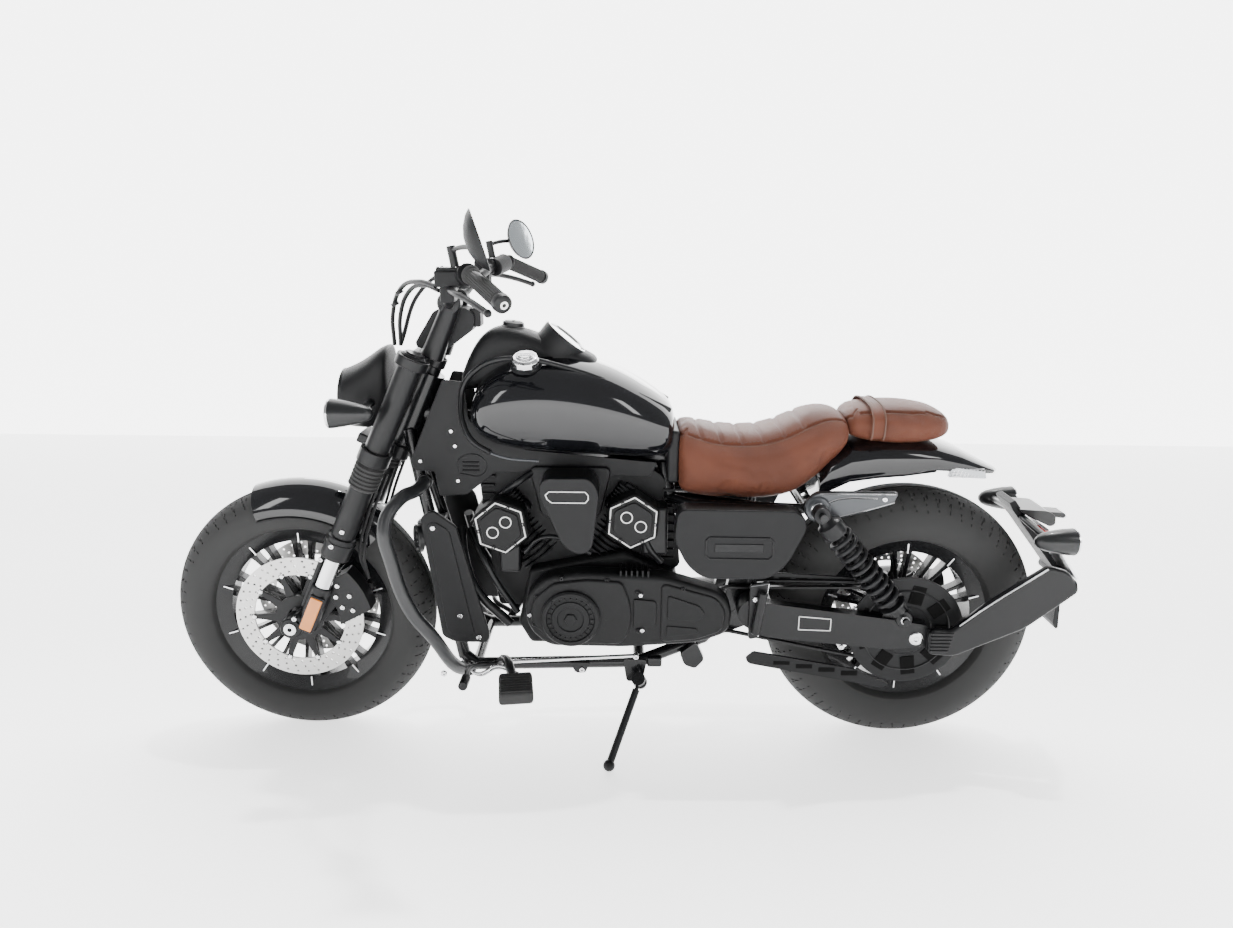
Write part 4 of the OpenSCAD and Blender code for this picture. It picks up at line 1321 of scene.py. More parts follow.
@dataclass
class Fenders:
    """Front and rear fenders, the strut covers and the mesh-fronted side lights."""

    front_r: float = 339
    front_crown: float = 76
    wall: float = 4
    front_from: float = -134
    front_sweep: float = 62
    crown_steps: int = 24
    crown_half: float = 88

    def build(self) -> None:
        """Makes both fenders and their fittings."""
        self.make_front()
        self.make_rear()
        self.make_struts()

    def make_front(self) -> None:
        """Turns the short front fender with a rolled lip."""
        c = self.front_crown
        centre = self.front_r + self.wall - c
        outer, inner = [], []
        for i in range(self.crown_steps + 1):
            a = math.radians(self.crown_half * (2 * i / self.crown_steps - 1))
            outer.append((centre + c * math.cos(a), c * math.sin(a)))
            inner.append((centre + (c - self.wall) * math.cos(a), (c - self.wall) * math.sin(a)))
        turn = FRONT_WHEEL @ rotated(self.front_from, "Z")
        shape = Shape().turned(outer + inner[::-1], turn, 40, closed=True, sweep=self.front_sweep)
        Piece("front_fender_shell", "steering", GLOSS_BLACK, ("front_fender",), 45).make(shape)
        lip = Shape()
        for side in (-1, 1):
            edge = [(centre + 1, side * c - 2.4), (centre - 1, side * c + 2), (centre - 5, side * c)]
            lip.turned(edge, turn, 40, closed=True, sweep=self.front_sweep)
        stay = Shape()
        for low, high in (((22, 75, 258), (46, 82, 330)), ((40, 76, 300), (70, 81, 318))):
            stay.box(low, high, 3, FORK)
        stay.mirrored()
        Piece("front_fender_stays", "steering", SATIN_BLACK).make(stay)
        Piece("front_fender_lip", "steering", MATTE_BLACK, (), 45).make(lip)

    def make_rear(self) -> None:
        """Lofts the rear fender, open below."""
        sections = (
            Section(238, 640, 730, 92, 3.0, 3.0), Section(215, 660, 764, 98, 3.0, 3.0),
            Section(170, 684, 790, 103, 3.0, 3.0), Section(110, 694, 800, 105, 3.0, 3.0),
            Section(40, 702, 802, 106, 2.8, 3.0), Section(-30, 716, 796, 104, 2.6, 3.0),
            Section(-90, 716, 779, 98, 2.5, 3.0), Section(-140, 714, 757, 86, 2.4, 3.0),
            Section(-180, 716, 736, 62, 2.3, 3.0), Section(-196, 718, 728, 38, 2.2, 3.0))
        shape = Shape().loft(sections, 40, open_low=True)
        shell = Piece("rear_fender_shell", "chassis", GLOSS_BLACK, ("rear_fender",), 50).make(shape)
        wall = shell.modifiers.new("wall", "SOLIDIFY")
        wall.thickness = self.wall * MM
        wall.offset = -1
        lamp = Shape()
        for i in range(9):
            x = -66 - 9 * i
            lamp.bar((x, 101 - 0.06 * i * i, 722), (x - 9, 97 - 0.1 * i * i, 744 - i), 1.5, sides=6)
        for i in range(3):
            z = 724 + 8 * i
            lamp.bar((-66, 102 - i, z), (-146, 90 - 2 * i, z - 2), 1.5, sides=6)
        Piece("side_light_mesh", "chassis", MACHINED, (), 40).make(lamp.mirrored())
        lens = Shape().plate([(-60, 720), (-66, 746), (-146, 734), (-150, 718)], 86, 99, 4, 2)
        Piece("side_light_lens", "chassis", LENS).make(lens.mirrored())

    def make_struts(self) -> None:
        """Makes the strut covers with their bright edges, groove and bolts."""
        outline = [(284, 660), (276, 682), (258, 697), (70, 698), (82, 670), (140, 652), (226, 628),
                   (258, 624), (278, 636)]
        body = Shape().plate(outline, 136, 156, 9, 4, 3)
        body.turned([(0, 20), (27, 20), (31, 16), (31, 0), (0, 0)], facing_left(255, 140, 658), 48)
        Piece("strut_covers", "chassis", STRUT_GREY, ("fender_struts",)).make(body.mirrored())
        edge = Shape().tube([(252, 155.5, 694), (160, 155.5, 695.5), (78, 155.5, 695.5)], 1.8, 8)
        edge.tube([(234, 156, 672), (210, 156, 682), (120, 156, 686)], 2.6, 8)
        edge.tube([(80, 155.5, 676), (140, 155.5, 657), (222, 155.5, 634)], 1.6, 8)
        edge.bolt(103, 156, 683, 6, 4)
        edge.socket_head(facing_left(255, 160, 658), 17, 9)
        Piece("strut_bright_work", "chassis", BRIGHT).make(edge.mirrored())


@dataclass
class SideCovers:
    """Matte covers under the seat, each with a long pressed panel."""

    outline: tuple[Flat, ...] = ((578, 664), (302, 662), (278, 628), (322, 532), (364, 494), (514, 494),
                                 (554, 526), (586, 588))

    def build(self) -> None:
        """Makes both covers."""
        shape = Shape().plate(self.outline, 132, 188, 26, 16, 5)
        Piece("side_cover_shells", "chassis", MATTE_BLACK, ("side_covers",), 45).make(shape.mirrored())
        panel = Shape()
        corners = [(504, 598), (366, 597), (358, 589), (358, 553), (366, 545), (504, 546), (512, 554),
                   (512, 590)]
        panel.loop([(x, 188.4, z) for x, z in corners], 2.2)
        panel.box((380, 187, 562), (492, 190, 582), 1.4)
        Piece("side_cover_panels", "chassis", SATIN_BLACK, (), 40).make(panel.mirrored())


# ---------------------------------------------------------------- front end


@dataclass
class ForkLegs:
    """Fork tubes with ribbed collars, bright inner tubes, legs and amber reflectors."""

    ahead: float = 34
    out: float = 112

    def build(self) -> None:
        """Makes everything that stands on the two fork axes."""
        place = FORK @ Matrix.Translation((self.ahead, self.out, 0))
        tubes = Shape().turned([(0, 752), (20, 752), (22, 748), (25, 748), (28.5, 744), (29, 268),
                                (0, 268)], place, 48)
        Piece("fork_outer_tubes", "steering", SATIN_BLACK, ("fork",)).make(tubes.mirrored())
        self.make_collars(place)
        inner = Shape().turned([(20.5, 214), (20.5, 124), (0, 124), (0, 214)], place, 48)
        Piece("fork_inner_tubes", "steering", BRIGHT, ("fork",)).make(inner.mirrored())
        self.make_legs(place)
        self.make_marks()

    def make_collars(self, place: Matrix) -> None:
        """Turns the ribbed boots under the clamp and the seal holders."""
        boots = Shape()
        profile = [(29, 402)]
        for i in range(6):
            z = 406 + 10 * i
            profile += [(32, z), (35, z + 2), (35, z + 5), (32, z + 7)]
        boots.turned(profile + [(29, 466)], place, 48, closed=True)
        Piece("fork_boots", "steering", GRIP, ("fork",)).make(boots.mirrored())
        seals = Shape().turned([(29, 272), (34, 270), (35, 266), (35, 216), (32, 212), (21, 212),
                                (21, 272)], place, 48, closed=True)
        seals.turned([(35, 258), (37, 257), (37, 250), (35, 249)], place, 48, closed=True)
        Piece("fork_seal_holders", "steering", SATIN_BLACK, ("fork",)).make(seals.mirrored())

    def make_legs(self, place: Matrix) -> None:
        """Casts the legs with their axle eyes and guards."""
        legs = Shape().turned([(0, 8), (22, 6), (25, 10), (26, 118), (24, 128), (21, 130), (0, 130)], place,
                              40)
        axle = FORK @ facing_left(64, self.out, 0)
        legs.turned([(0, -26), (24, -26), (27, -22), (27, 22), (24, 26), (13, 26), (13, 20), (0, 20)], axle,
                    40)
        legs.box((26, self.out - 22, 2), (72, self.out + 22, 40), 10, FORK)
        legs.box((54, self.out - 12, 60), (64, self.out + 12, 258), 4, FORK)
        Piece("fork_legs", "steering", SATIN_BLACK, ("fork",), 40).make(legs.mirrored())

    def make_marks(self) -> None:
        """Adds the amber reflectors, the guard strips and the bolts."""
        amber = Shape().box((16, 137, 14), (46, 144, 104), 3, FORK)
        Piece("fork_reflectors", "steering", AMBER, (), 40).make(amber.mirrored())
        frame_ring = Shape().box((12, 133, 8), (50, 141, 110), 4, FORK)
        Piece("fork_reflector_frames", "steering", SATIN_BLACK, (), 40).make(frame_ring.mirrored())
        bolts = Shape()
        for s, x, y in ((292, 34, 141), (250, 44, 147), (30, 64, 138), (196, 60, 124)):
            spot = FORK @ facing_left(x, y, s)
            bolts.socket_head(spot, 6, 4)
        Piece("fork_bolts", "steering", BRIGHT, (), 30).make(bolts.mirrored())


@dataclass
class FrontAxle:
    """Spindle ends and nuts on both sides of the front axle."""

    def build(self) -> None:
        """Turns the axle ends and repaints the spindles behind them."""
        ends = Shape().turned([(6, 142.5), (12, 142.5), (15, 140.5), (15, 137), (6, 137)], FRONT_WHEEL, 32,
                              closed=True)
        ends.turned([(6, 143.4), (9, 143.4), (9, 142), (6, 142)], FRONT_WHEEL, 6, closed=True)
        Piece("front_axle_ends", "steering", BRIGHT, (), 30).make(ends.mirrored())
        paint("front_axle", BRIGHT)


@dataclass
class Nacelle:
    """Headlight shell, lens and the bullet turn signals."""

    shell: tuple[Section, ...] = (
        Section(1374, 811, 949, 69, 2, 2), Section(1366, 809, 951, 71, 2, 2),
        Section(1340, 806, 962, 73, 2.2, 2.2), Section(1310, 806, 980, 72, 2.5, 2.4),
        Section(1284, 822, 1000, 70, 2.8, 2.6), Section(1266, 850, 1008, 66, 3, 3),
        Section(1258, 880, 1004, 56, 3, 3))
    signal: tuple[Flat, ...] = ((0, -92), (7, -91), (14, -86), (19, -74), (24, -54), (29, -30), (32.5, -8),
                                (33.5, 0))

    def build(self) -> None:
        """Makes the nacelle and the signals."""
        shell = Shape().loft(self.shell, 36)
        Piece("headlight_nacelle", "steering", MATTE_BLACK, ("front_lights",), 60, 2).make(shell)
        stem = Shape().box((50, -40, 476), (100, 40, 500), 4, FORK)
        Piece("nacelle_stem", "steering", SATIN_BLACK, ("front_lights",)).make(stem)
        ahead = Matrix.Translation((1372, 0, 880)) @ rotated(90, "Y")
        rim = Shape().turned([(58, 2), (64, 5), (69, 3), (70, -6), (58, -8)], ahead, 64, closed=True)
        Piece("headlight_rim", "steering", SATIN_BLACK, (), 40).make(rim)
        lens = Shape().turned([(0, 6), (30, 5), (50, 2), (59, -2), (59, -8), (0, -8)], ahead, 48)
        Piece("headlight_lens", "steering", LENS, (), 40).make(lens)
        # The bars across the lens take the painted-shade finish: their near-black colour is painted shade.
        bars = Shape()
        for i in range(-2, 3):
            bars.box((4.5 - 0.5 * abs(i), -46 + 6 * abs(i), 22 * i - 1.5), (7 - 0.6 * abs(i),
                                                                            46 - 6 * abs(i), 22 * i + 1.5),
                     0.6, Matrix.Translation((1372, 0, 880)))
        Piece("headlight_bars", "steering", PAINTED_SHADE, (), 40).make(bars)
        self.make_signals()

    def make_signals(self) -> None:
        """Turns the front signals on their stalks."""
        place = Matrix.Translation((1352, 184, 878)) @ rotated(90, "Y")
        shells = Shape().turned([*self.signal, (30, 2), (0, 2)], place, 40)
        shells.bar((1296, 66, 878), (1296, 158, 878), 9, sides=24)
        rings = Shape().turned([(33.5, 0), (34, 3), (32, 6), (29, 6), (29, 0)], place, 40, closed=True)
        lenses = Shape().turned([(29.5, 4), (26, 7), (14, 9.5), (0, 10), (0, 1), (29.5, 1)], place, 40)
        for tag, shape, finish, gone in (("shells", shells, LAMP_SHELL, ("front_lights",)),
                                         ("rings", rings, BRIGHT, ()), ("lenses", lenses, LENS, ())):
            Piece("front_signal_" + tag, "steering", finish, gone, 40).make(shape.mirrored())


@dataclass
class Bars:
    """Handlebar, risers, grips, switchgear, levers, mirrors and hoses."""

    turns: tuple[Point, ...] = ((1105, 0, 1110), (1105, 70, 1110), (1066, 180, 1162), (1017, 285, 1189))
    end: Point = (931, 419, 1139)

    def build(self) -> None:
        """Makes all of the bars' pieces."""
        self.make_bar()
        self.make_grips()
        self.make_controls()
        self.make_mirrors()
        self.make_hoses()

    def grip_at(self, share: float) -> Vector:
        """The point this share of the way along the left grip."""
        return Vector(self.turns[3]).lerp(Vector(self.end), share)

    def make_bar(self) -> None:
        """Bends the bar and builds the risers."""
        shape = Shape()
        inner = [*self.turns, tuple(self.grip_at(0.9))]
        route = [(x, -y, z) for x, y, z in inner[:0:-1]] + inner
        shape.tube(route, 11.2, 16, resolution=12)
        foot = FORK @ Vector((6, 50, 744))
        riser = Shape().bar(foot, (1104, 50, 1100), 27, 21, 32, 3)
        riser.turned([(12, -18), (24, -18), (27, -14), (27, 14), (24, 18), (12, 18)],
                     facing_left(self.turns[0][0], 50, self.turns[0][2]), 36, closed=True)
        riser.bolts(((1086, 1118), (1124, 1102)), 67, 4, 3)
        Piece("handlebar_tube", "steering", SATIN_BLACK, ("handlebar",), 50).make(shape)
        Piece("bar_risers", "steering", SATIN_BLACK, ("handlebar",)).make(riser.mirrored())
        shroud = Shape().plate([(1108, 1096), (1146, 1092), (1196, 1012), (1180, 1000), (1120, 1000),
                                (1056, 1048), (1052, 1082), (1074, 1098)], -34, 34, 12, 9, 3)
        shroud.box((1040, -24, 1052), (1066, 26, 1096), 5)
        Piece("riser_shroud", "steering", MATTE_BLACK, (), 45).make(shroud)

    def make_grips(self) -> None:
        """Turns the ribbed grips, their flanges and the bar ends."""
        start, end = self.grip_at(0.03), self.grip_at(0.91)
        place = along(start, end)
        length = (end - start).length
        grips = Shape().turned([(11.4, 0), (19, 0), (20, 3), (19, 6), (16, 8), (16, length),
                                (11.4, length)], place, 40, closed=True)
        for i in range(24):
            turn = place @ Matrix.Rotation(math.tau * i / 24, 4, "Z")
            grips.box((15, -1.1, 12), (17.3, 1.1, length - 8), 0.5, turn)
        Piece("ribbed_grips", "steering", GRIP, ("grips",), 40).make(grips.mirrored())
        tip = Shape().turned([(0, 14), (12, 14), (18, 10), (19, 4), (19, -2), (12, -4), (0, -4)],
                             along(self.grip_at(0.92), Vector(self.end)), 40)
        Piece("bar_ends", "steering", SATIN_BLACK, ("grips",)).make(tip.mirrored())
        ring = Shape().turned([(4, 15), (8, 15), (8, 13), (4, 13)], along(self.grip_at(0.92),
                                                                          Vector(self.end)), 32,
                              closed=True)
        Piece("bar_end_rings", "steering", BRIGHT).make(ring.mirrored())

    def make_controls(self) -> None:
        """Builds the switch housings, the reservoirs and the levers."""
        housing = Shape().bar((1042, 228, 1176), (1020, 277, 1187), 23, sides=40, edge=3)
        housing.box((1040, 214, 1160), (1092, 272, 1194), 5)
        housing.box((1044, 218, 1192), (1088, 268, 1199), 2.5)
        housing.box((1054, 218, 1128), (1084, 262, 1164), 6)
        Piece("switch_housings", "steering", MATTE_BLACK, ("hand_controls",), 40).make(housing.mirrored())
        lever = Shape().tube([(1066, 240, 1154), (1050, 300, 1154), (1008, 356, 1142), (963, 411, 1123)],
                             6.5, 12)
        lever.ball((963, 411, 1123), 8)
        lever.turned([(0, 9), (11, 9), (12, 7), (12, -9), (0, -9)], Matrix.Translation((1064, 246, 1148)), 32)
        Piece("hand_levers", "steering", SATIN_BLACK, ("hand_controls",), 50).make(lever.mirrored())
        bits = Shape()
        for x, y in ((1046, 222), (1084, 222), (1046, 264), (1084, 264)):
            bits.turned([(0, 2.2), (3, 2.2), (3.6, 0), (0, 0)], Matrix.Translation((x, y, 1199)), 16)
        Piece("reservoir_screws", "steering", BRIGHT, (), 30).make(bits.mirrored())
        buttons = Shape().box((1032, 240, 1196), (1042, 252, 1203), 2)
        buttons.box((1024, 262, 1200), (1032, 272, 1208), 2)
        Piece("switch_buttons", "steering", GRIP, (), 40).make(buttons.mirrored())

    def mirror_place(self, spot: Point, yaw: float, stretch: float) -> Matrix:
        """A mirror head's frame, whose z is the glass's normal and x its length."""
        return (Matrix.Translation(spot) @ rotated(yaw, "Z") @ rotated(-72, "Y")
                @ Matrix.Diagonal((stretch, 0.93, 1, 1)))

    def make_mirrors(self) -> None:
        """Turns both mirror heads and bends their stems."""
        heads, glasses = Shape(), Shape()
        for place in (self.mirror_place((988, 332, 1254), 9, 1.15),
                      self.mirror_place((984, -334, 1245), -33, 1)):
            heads.turned([(0, -27), (14, -26), (30, -20), (46, -9), (54, 1), (53, 3), (50, 2), (49, -2),
                          (0, -2)], place, 56)
            glasses.turned([(0, 1.2), (49.5, 1.2), (49.5, -1), (0, -1)], place, 56)
        Piece("mirror_heads", "steering", MATTE_BLACK, ("mirrors",), 45).make(heads)
        Piece("mirror_glasses", "steering", MIRROR_GLASS, (), 45).make(glasses)
        stems = Shape().bar((1050, 256, 1198), (1058, 256, 1242), 9, sides=28, edge=2)
        stems.tube([(1056, 256, 1233), (1030, 290, 1240), (1004, 324, 1241)], 5, 12)
        Piece("mirror_stems", "steering", SATIN_BLACK, ("mirrors",), 40).make(stems.mirrored())

    def make_hoses(self) -> None:
        """Runs the hoses over the nacelle and the lines down the legs."""
        hoses = Shape().tube([(1096, 236, 1160), (1140, 190, 1166), (1198, 120, 1146), (1232, 70, 1084),
                              (1240, 40, 1012)], 5, 12, resolution=12)
        hoses.tube([(1096, -238, 1160), (1146, -180, 1168), (1204, -90, 1124), (1230, 20, 1012)], 5, 12,
                   resolution=12)
        hoses.tube([(1092, 222, 1150), (1128, 186, 1158), (1180, 120, 1140), (1214, 74, 1082),
                    (1224, 46, 1012)], 5, 12, resolution=12)
        Piece("control_hoses", "steering", HOSE, ("brake_hoses",), 50).make(hoses)
        lines = Shape()
        for shift in (0, 11):
            points = [(-6 + shift, 95, 452), (-12 + shift, 100, 330), (-28 + shift, 100, 240), (-58, 86, 180)]
            lines.tube([tuple(FORK @ Vector(p)) for p in points], 4, 10)
        Piece("brake_lines", "steering", HOSE, ("brake_hoses",), 50).make(lines.mirrored())
        ties = Shape()
        for x, y, z in ((1219, 95, 1110), (1202, 118, 1138)):
            ties.turned([(5, -4), (9, -4), (9, 4), (5, 4)], Matrix.Translation((x, y, z))
                        @ rotated(30, "Y"), 24, closed=True)
        Piece("hose_ties", "steering", SATIN_BLACK, (), 40).make(ties)


def build_front() -> None:
    """Makes the whole steered front, less its wheel."""
    ForkLegs().build()
    FrontAxle().build()
    Nacelle().build()
    Bars().build()
    refined("triple_clamps", "steering", SATIN_BLACK, 3, "fork_clamps")
    refined("front_calipers", "steering", SATIN_BLACK, 4, "front_caliper_bodies")
    bolts = Shape()
    for angle, r in ((138, 150), (152, 158), (166, 150), (146, 128), (160, 128)):
        a = math.radians(angle)
        bolts.bolt(BIKE.front_axle.x + r * math.cos(a), 104, BIKE.front_axle.z + r * math.sin(a), 6, 4)
    Piece("front_caliper_bolts", "steering", BRIGHT, (), 30).make(bolts.mirrored())


# ---------------------------------------------------------------- engine


@dataclass
class CylinderUnit:
    """One finned barrel and head with its outlined hexagonal covers."""

    name: str
    node: str
    angle: float
    crank: Point = (825, 0, 400)
    fins: int = 8
    first_fin: float = 124
    fin_pitch: float = 14
    cover_z: float = 258
    cover_r: float = 71
    lid_r: float = 52
    line_r: float = 62
    cover_out: float = 140

    def build(self) -> None:
        """Makes the barrel, the head and the covers."""
        place = Matrix.Translation(self.crank) @ rotated(self.angle, "Y")
        self.make_barrel(place)
        self.make_covers(place)

    def make_barrel(self, place: Matrix) -> None:
        """Turns the finned barrel under a ribbed head."""
        barrel = Shape().turned([(0, 118), (60, 118), (60, 240), (0, 240)], place, 48)
        for i in range(self.fins):
            z = self.first_fin + self.fin_pitch * i
            barrel.turned([(58, z), (72, z + 0.5), (73, z + 2), (72, z + 3.5), (58, z + 4)], place, 48,
                          closed=True)
        barrel.box((-70, -82, 236), (70, 82, 262), 7, place)
        for i in range(5):
            barrel.box((-69, -80, 264 + 9 * i), (69, 80, 269 + 9 * i), 2, place)
        barrel.box((-62, -74, 258), (62, 74, 300), 5, place)
        barrel.box((-54, -66, 300), (54, 66, 313), 6, place)
        Piece(self.name + "_barrel", "chassis", ENGINE_BLACK, (self.node,)).make(barrel)

    def outline(self, r: float) -> list[Flat]:
        """The covers' hexagon in the cylinder's own side view."""
        return [(r * math.cos(math.radians(a)), self.cover_z + r * math.sin(math.radians(a)))
                for a in range(0, 360, 60)]

    def make_covers(self, place: Matrix) -> None:
        """Adds the hexagonal covers with their painted outlines and screws."""
        for side in (1, -1):
            tag = "left" if side > 0 else "right"
            cover = Shape().plate(self.outline(self.cover_r), side * 82, side * self.cover_out, 10, 7, 3,
                                  place)
            cover.plate(self.outline(self.lid_r), side * 138, side * 146, 8, 3, 2, place)
            Piece(f"{self.name}_cover_{tag}", "chassis", ENGINE_BLACK, (self.node,), 40).make(cover)
            line = Shape()
            ring = [(x, side * (self.cover_out + 0.6), z) for x, z in self.outline(self.line_r)]
            for a, b in zip(ring, ring[1:] + ring[:1]):
                line.bar(a, b, 1.7, sides=8)
                line.ball(a, 1.8)
            for x, r in ((-20, 12), (20, 12)):
                hub = facing_left(x, 0, 262)
                line.turned([(r, side * 145), (r + 2.4, side * 145), (r + 2.4, side * 147.4),
                             (r, side * 147.4)], hub, 32, closed=True)
            bmesh.ops.transform(line.mesh, matrix=place, verts=line.mesh.verts)
            Piece(f"{self.name}_outline_{tag}", "chassis", WHITE_LINE, (), 60).make(line)
        screws = Shape()
        for a in range(30, 390, 60):
            x = self.lid_r * math.cos(math.radians(a))
            z = self.cover_z + self.lid_r * math.sin(math.radians(a))
            spot = place @ facing_left(x, 139, z)
            screws.socket_head(spot, 5, 4)
        Piece(self.name + "_screws", "chassis", SATIN_BLACK, (), 30).make(screws)


@dataclass
class Engine:
    """Cases, covers, air cleaner, radiator and exhaust."""

    primary: tuple[Flat, ...] = ((936, 400), (926, 446), (880, 486), (800, 496), (600, 488), (470, 450),
                                 (440, 410), (448, 346), (520, 318), (700, 304), (880, 306), (926, 350))
    lid_at: Flat = (825, 386)
    lid_bolts_r: float = 62
    core_fins: int = 44
    core_from: float = 14
    core_pitch: float = 5
    can_from: Point = (580, -214, 268)
    can_to: Point = (-160, -222, 322)
    bands: int = 7
    band_from: float = 160
    band_pitch: float = 54

    def build(self) -> None:
        """Makes the whole engine."""
        CylinderUnit("front_cylinder", "front_cylinder", 40).build()
        CylinderUnit("rear_cylinder", "rear_cylinder", -34).build()
        refined("engine_block", "chassis", ENGINE_BLACK, 8, "crankcase")
        self.make_primary()
        self.make_right()
        self.make_air_cleaner()
        self.make_radiator()
        self.make_exhaust()
        self.make_small_parts()
        self.make_bay()

    def make_primary(self) -> None:
        """Builds the long left cover with its lid, seams, ribs and bolts."""
        case = Shape().plate(self.primary, 108, 168, 22, 12, 4)
        case.plate([(922, 387), (912, 433), (866, 473), (786, 483), (704, 478), (686, 430), (680, 390),
                    (686, 350), (704, 317), (866, 319), (912, 363)], 150, 176, 12, 6, 3)
        case.plate([(676, 434), (628, 430), (622, 424), (622, 368), (628, 362), (676, 360)], 150, 173, 4, 3)
        case.plate([(612, 476), (480, 440), (456, 405), (462, 354), (524, 330), (612, 322)], 150, 173, 16,
                   6, 3)
        case.plate([(596, 446), (520, 420), (506, 398), (520, 380), (596, 384)], 160, 177, 8, 3)
        case.plate([(598, 368), (524, 362), (520, 348), (598, 338)], 160, 176, 6, 3)
        for i in range(6):
            x = 640 + 13 * i
            case.box((x, 120, 486), (x + 5, 164, 503), 1.5)
        Piece("primary_cover", "chassis", ENGINE_BLACK, ("engine_covers",), 38).make(case)
        lid = facing_left(self.lid_at[0], 0, self.lid_at[1])
        rings = Shape().turned([(0, 184), (30, 184), (32, 187), (44, 187), (46, 184), (56, 184), (58, 188),
                                (66, 188), (70, 184), (71, 172), (0, 172)], lid, 72)
        rings.turned([(0, 188), (14, 188), (16, 184), (0, 184)], lid, 6)
        for angle in range(0, 360, 15):
            spoke = lid @ rotated(angle, "Z")
            rings.box((47, -1.5, 183), (55, 1.5, 187), 0.5, spoke)
        Piece("primary_lid", "chassis", ENGINE_BLACK, ("engine_covers",)).make(rings)
        bolts = Shape()
        for angle in (45, 135, 225, 315):
            out = rotated(angle, "Z") @ Vector((self.lid_bolts_r, 0, 0))
            bolts.bolt(self.lid_at[0] + out.x, 187, self.lid_at[1] + out.y, 4.5, 3)
        bolts.bolts(((906, 436), (912, 366), (846, 484), (740, 480), (668, 450), (664, 352), (740, 318),
                     (846, 318), (480, 426), (476, 360), (540, 336), (560, 460)), 167, 5.5, 6)
        Piece("primary_bolts", "chassis", SATIN_BLACK, (), 30).make(bolts)
        bright = Shape().bolts(((660, 446), (655, 356), (922, 392)), 175, 5, 4)
        Piece("primary_bright_bolts", "chassis", BRIGHT, (), 30).make(bright)

    def make_bay(self) -> None:
        """Fills the dark middle between the cylinders and behind the radiator."""
        middle = Shape().plate([(1012, 360), (1040, 560), (1052, 690), (1020, 738), (660, 738), (604, 700),
                                (574, 600), (560, 470), (640, 430), (940, 420), (950, 360)], -50, 50, 12, 5)
        for i in range(9):
            z = 520 + 22 * i
            middle.box((1028 - 2 * i, -60, z), (1046, 60, z + 6), 1.5)
            middle.box((578, -60, z - 30), (606, 60, z - 24), 1.5)
        middle.plate([(900, 600), (760, 600), (730, 730), (930, 730)], -78, 78, 20, 8)
        Piece("middle_bay", "chassis", MATTE_BLACK, (), 38).make(middle)

    def make_right(self) -> None:
        """Builds the cam and clutch cover on the right."""
        shape = Shape().plate([(900, 330), (920, 400), (880, 480), (760, 510), (620, 470), (590, 340),
                               (700, 292)], -158, -88, 24, 12, 4)
        out = facing_left(780, 0, 398) @ Matrix.Rotation(math.pi, 4, "X")
        shape.turned([(0, 168), (40, 168), (44, 171), (56, 171), (62, 166), (64, 150), (0, 150)], out, 64)
        shape.plate([(890, 352), (896, 400), (862, 452), (846, 400), (852, 350)], -163, -150, 10, 4)
        Piece("cam_cover", "chassis", ENGINE_BLACK, ("engine_covers",), 38).make(shape)
        bolts = Shape().bolts(((888, 344), (906, 402), (868, 470), (764, 498), (640, 464), (606, 350),
                               (700, 304)), -157, 5.5, 5)
        Piece("cam_cover_bolts", "chassis", BRIGHT, (), 30).make(bolts)

    def make_air_cleaner(self) -> None:
        """Shapes the smooth air cover with its blank badge."""
        outer = [(778, 735), (888, 733), (897, 700), (842, 572), (806, 548), (774, 562), (758, 700)]
        shape = Shape().plate(outer, 94, 188, 18, 14, 4)
        shape.plate([(790, 700), (880, 700), (840, 590), (800, 590)], -58, 96, 8, 5)
        Piece("air_cover", "chassis", MATTE_BLACK, ("air_cleaner",), 45).make(shape)
        spots = [(872, 703), (790, 703), (783, 695), (783, 685), (790, 677), (866, 677), (876, 685),
                 (880, 695)]
        badge = Shape().loop([(x, 189, z) for x, z in spots], 1.3)
        Piece("air_cover_badge", "chassis", WHITE_LINE, (), 60).make(badge)

    def make_radiator(self) -> None:
        """Adds fins and tanks to the radiator, and the horn."""
        place = Matrix.Translation((1098, 0, 330)) @ rotated(12, "Y")
        core = Shape()
        for i in range(self.core_fins):
            z = self.core_from + self.core_pitch * i
            half = 68 - 28 * z / 250
            core.box((2, -half + 4, z), (33, half - 4, z + 1.6), 0.4, place)
        for y in range(-54, 55, 12):
            core.box((6, y - 1.5, 8), (29, y + 1.5, 244 if abs(y) < 36 else 110), 0.5, place)
        Piece("radiator_core", "chassis", ALLOY, ("radiator",), 40).make(core)
        tanks = Shape().box((0, -68, 0), (36, 68, 14), 4, place)
        tanks.box((0, -41, 236), (36, 41, 250), 4, place)
        for side in (-1, 1):
            tanks.bar(place @ Vector((18, side * 66, 4)), place @ Vector((18, side * 40, 246)), 6, sides=16)
        Piece("radiator_tanks", "chassis", SATIN_BLACK, ("radiator",), 40).make(tanks)
        horn = along((1186, 110, 560), (1202, 118, 560))
        shape = Shape().turned([(0, 6), (8, 6), (10, 10), (20, 11), (22, 7), (28, 7), (31, 12), (34, 10),
                                (34, 0), (26, -4), (14, -10), (14, -24), (0, -24)], horn, 48)
        Piece("horn", "chassis", SATIN_BLACK, ("radiator",), 40).make(shape)

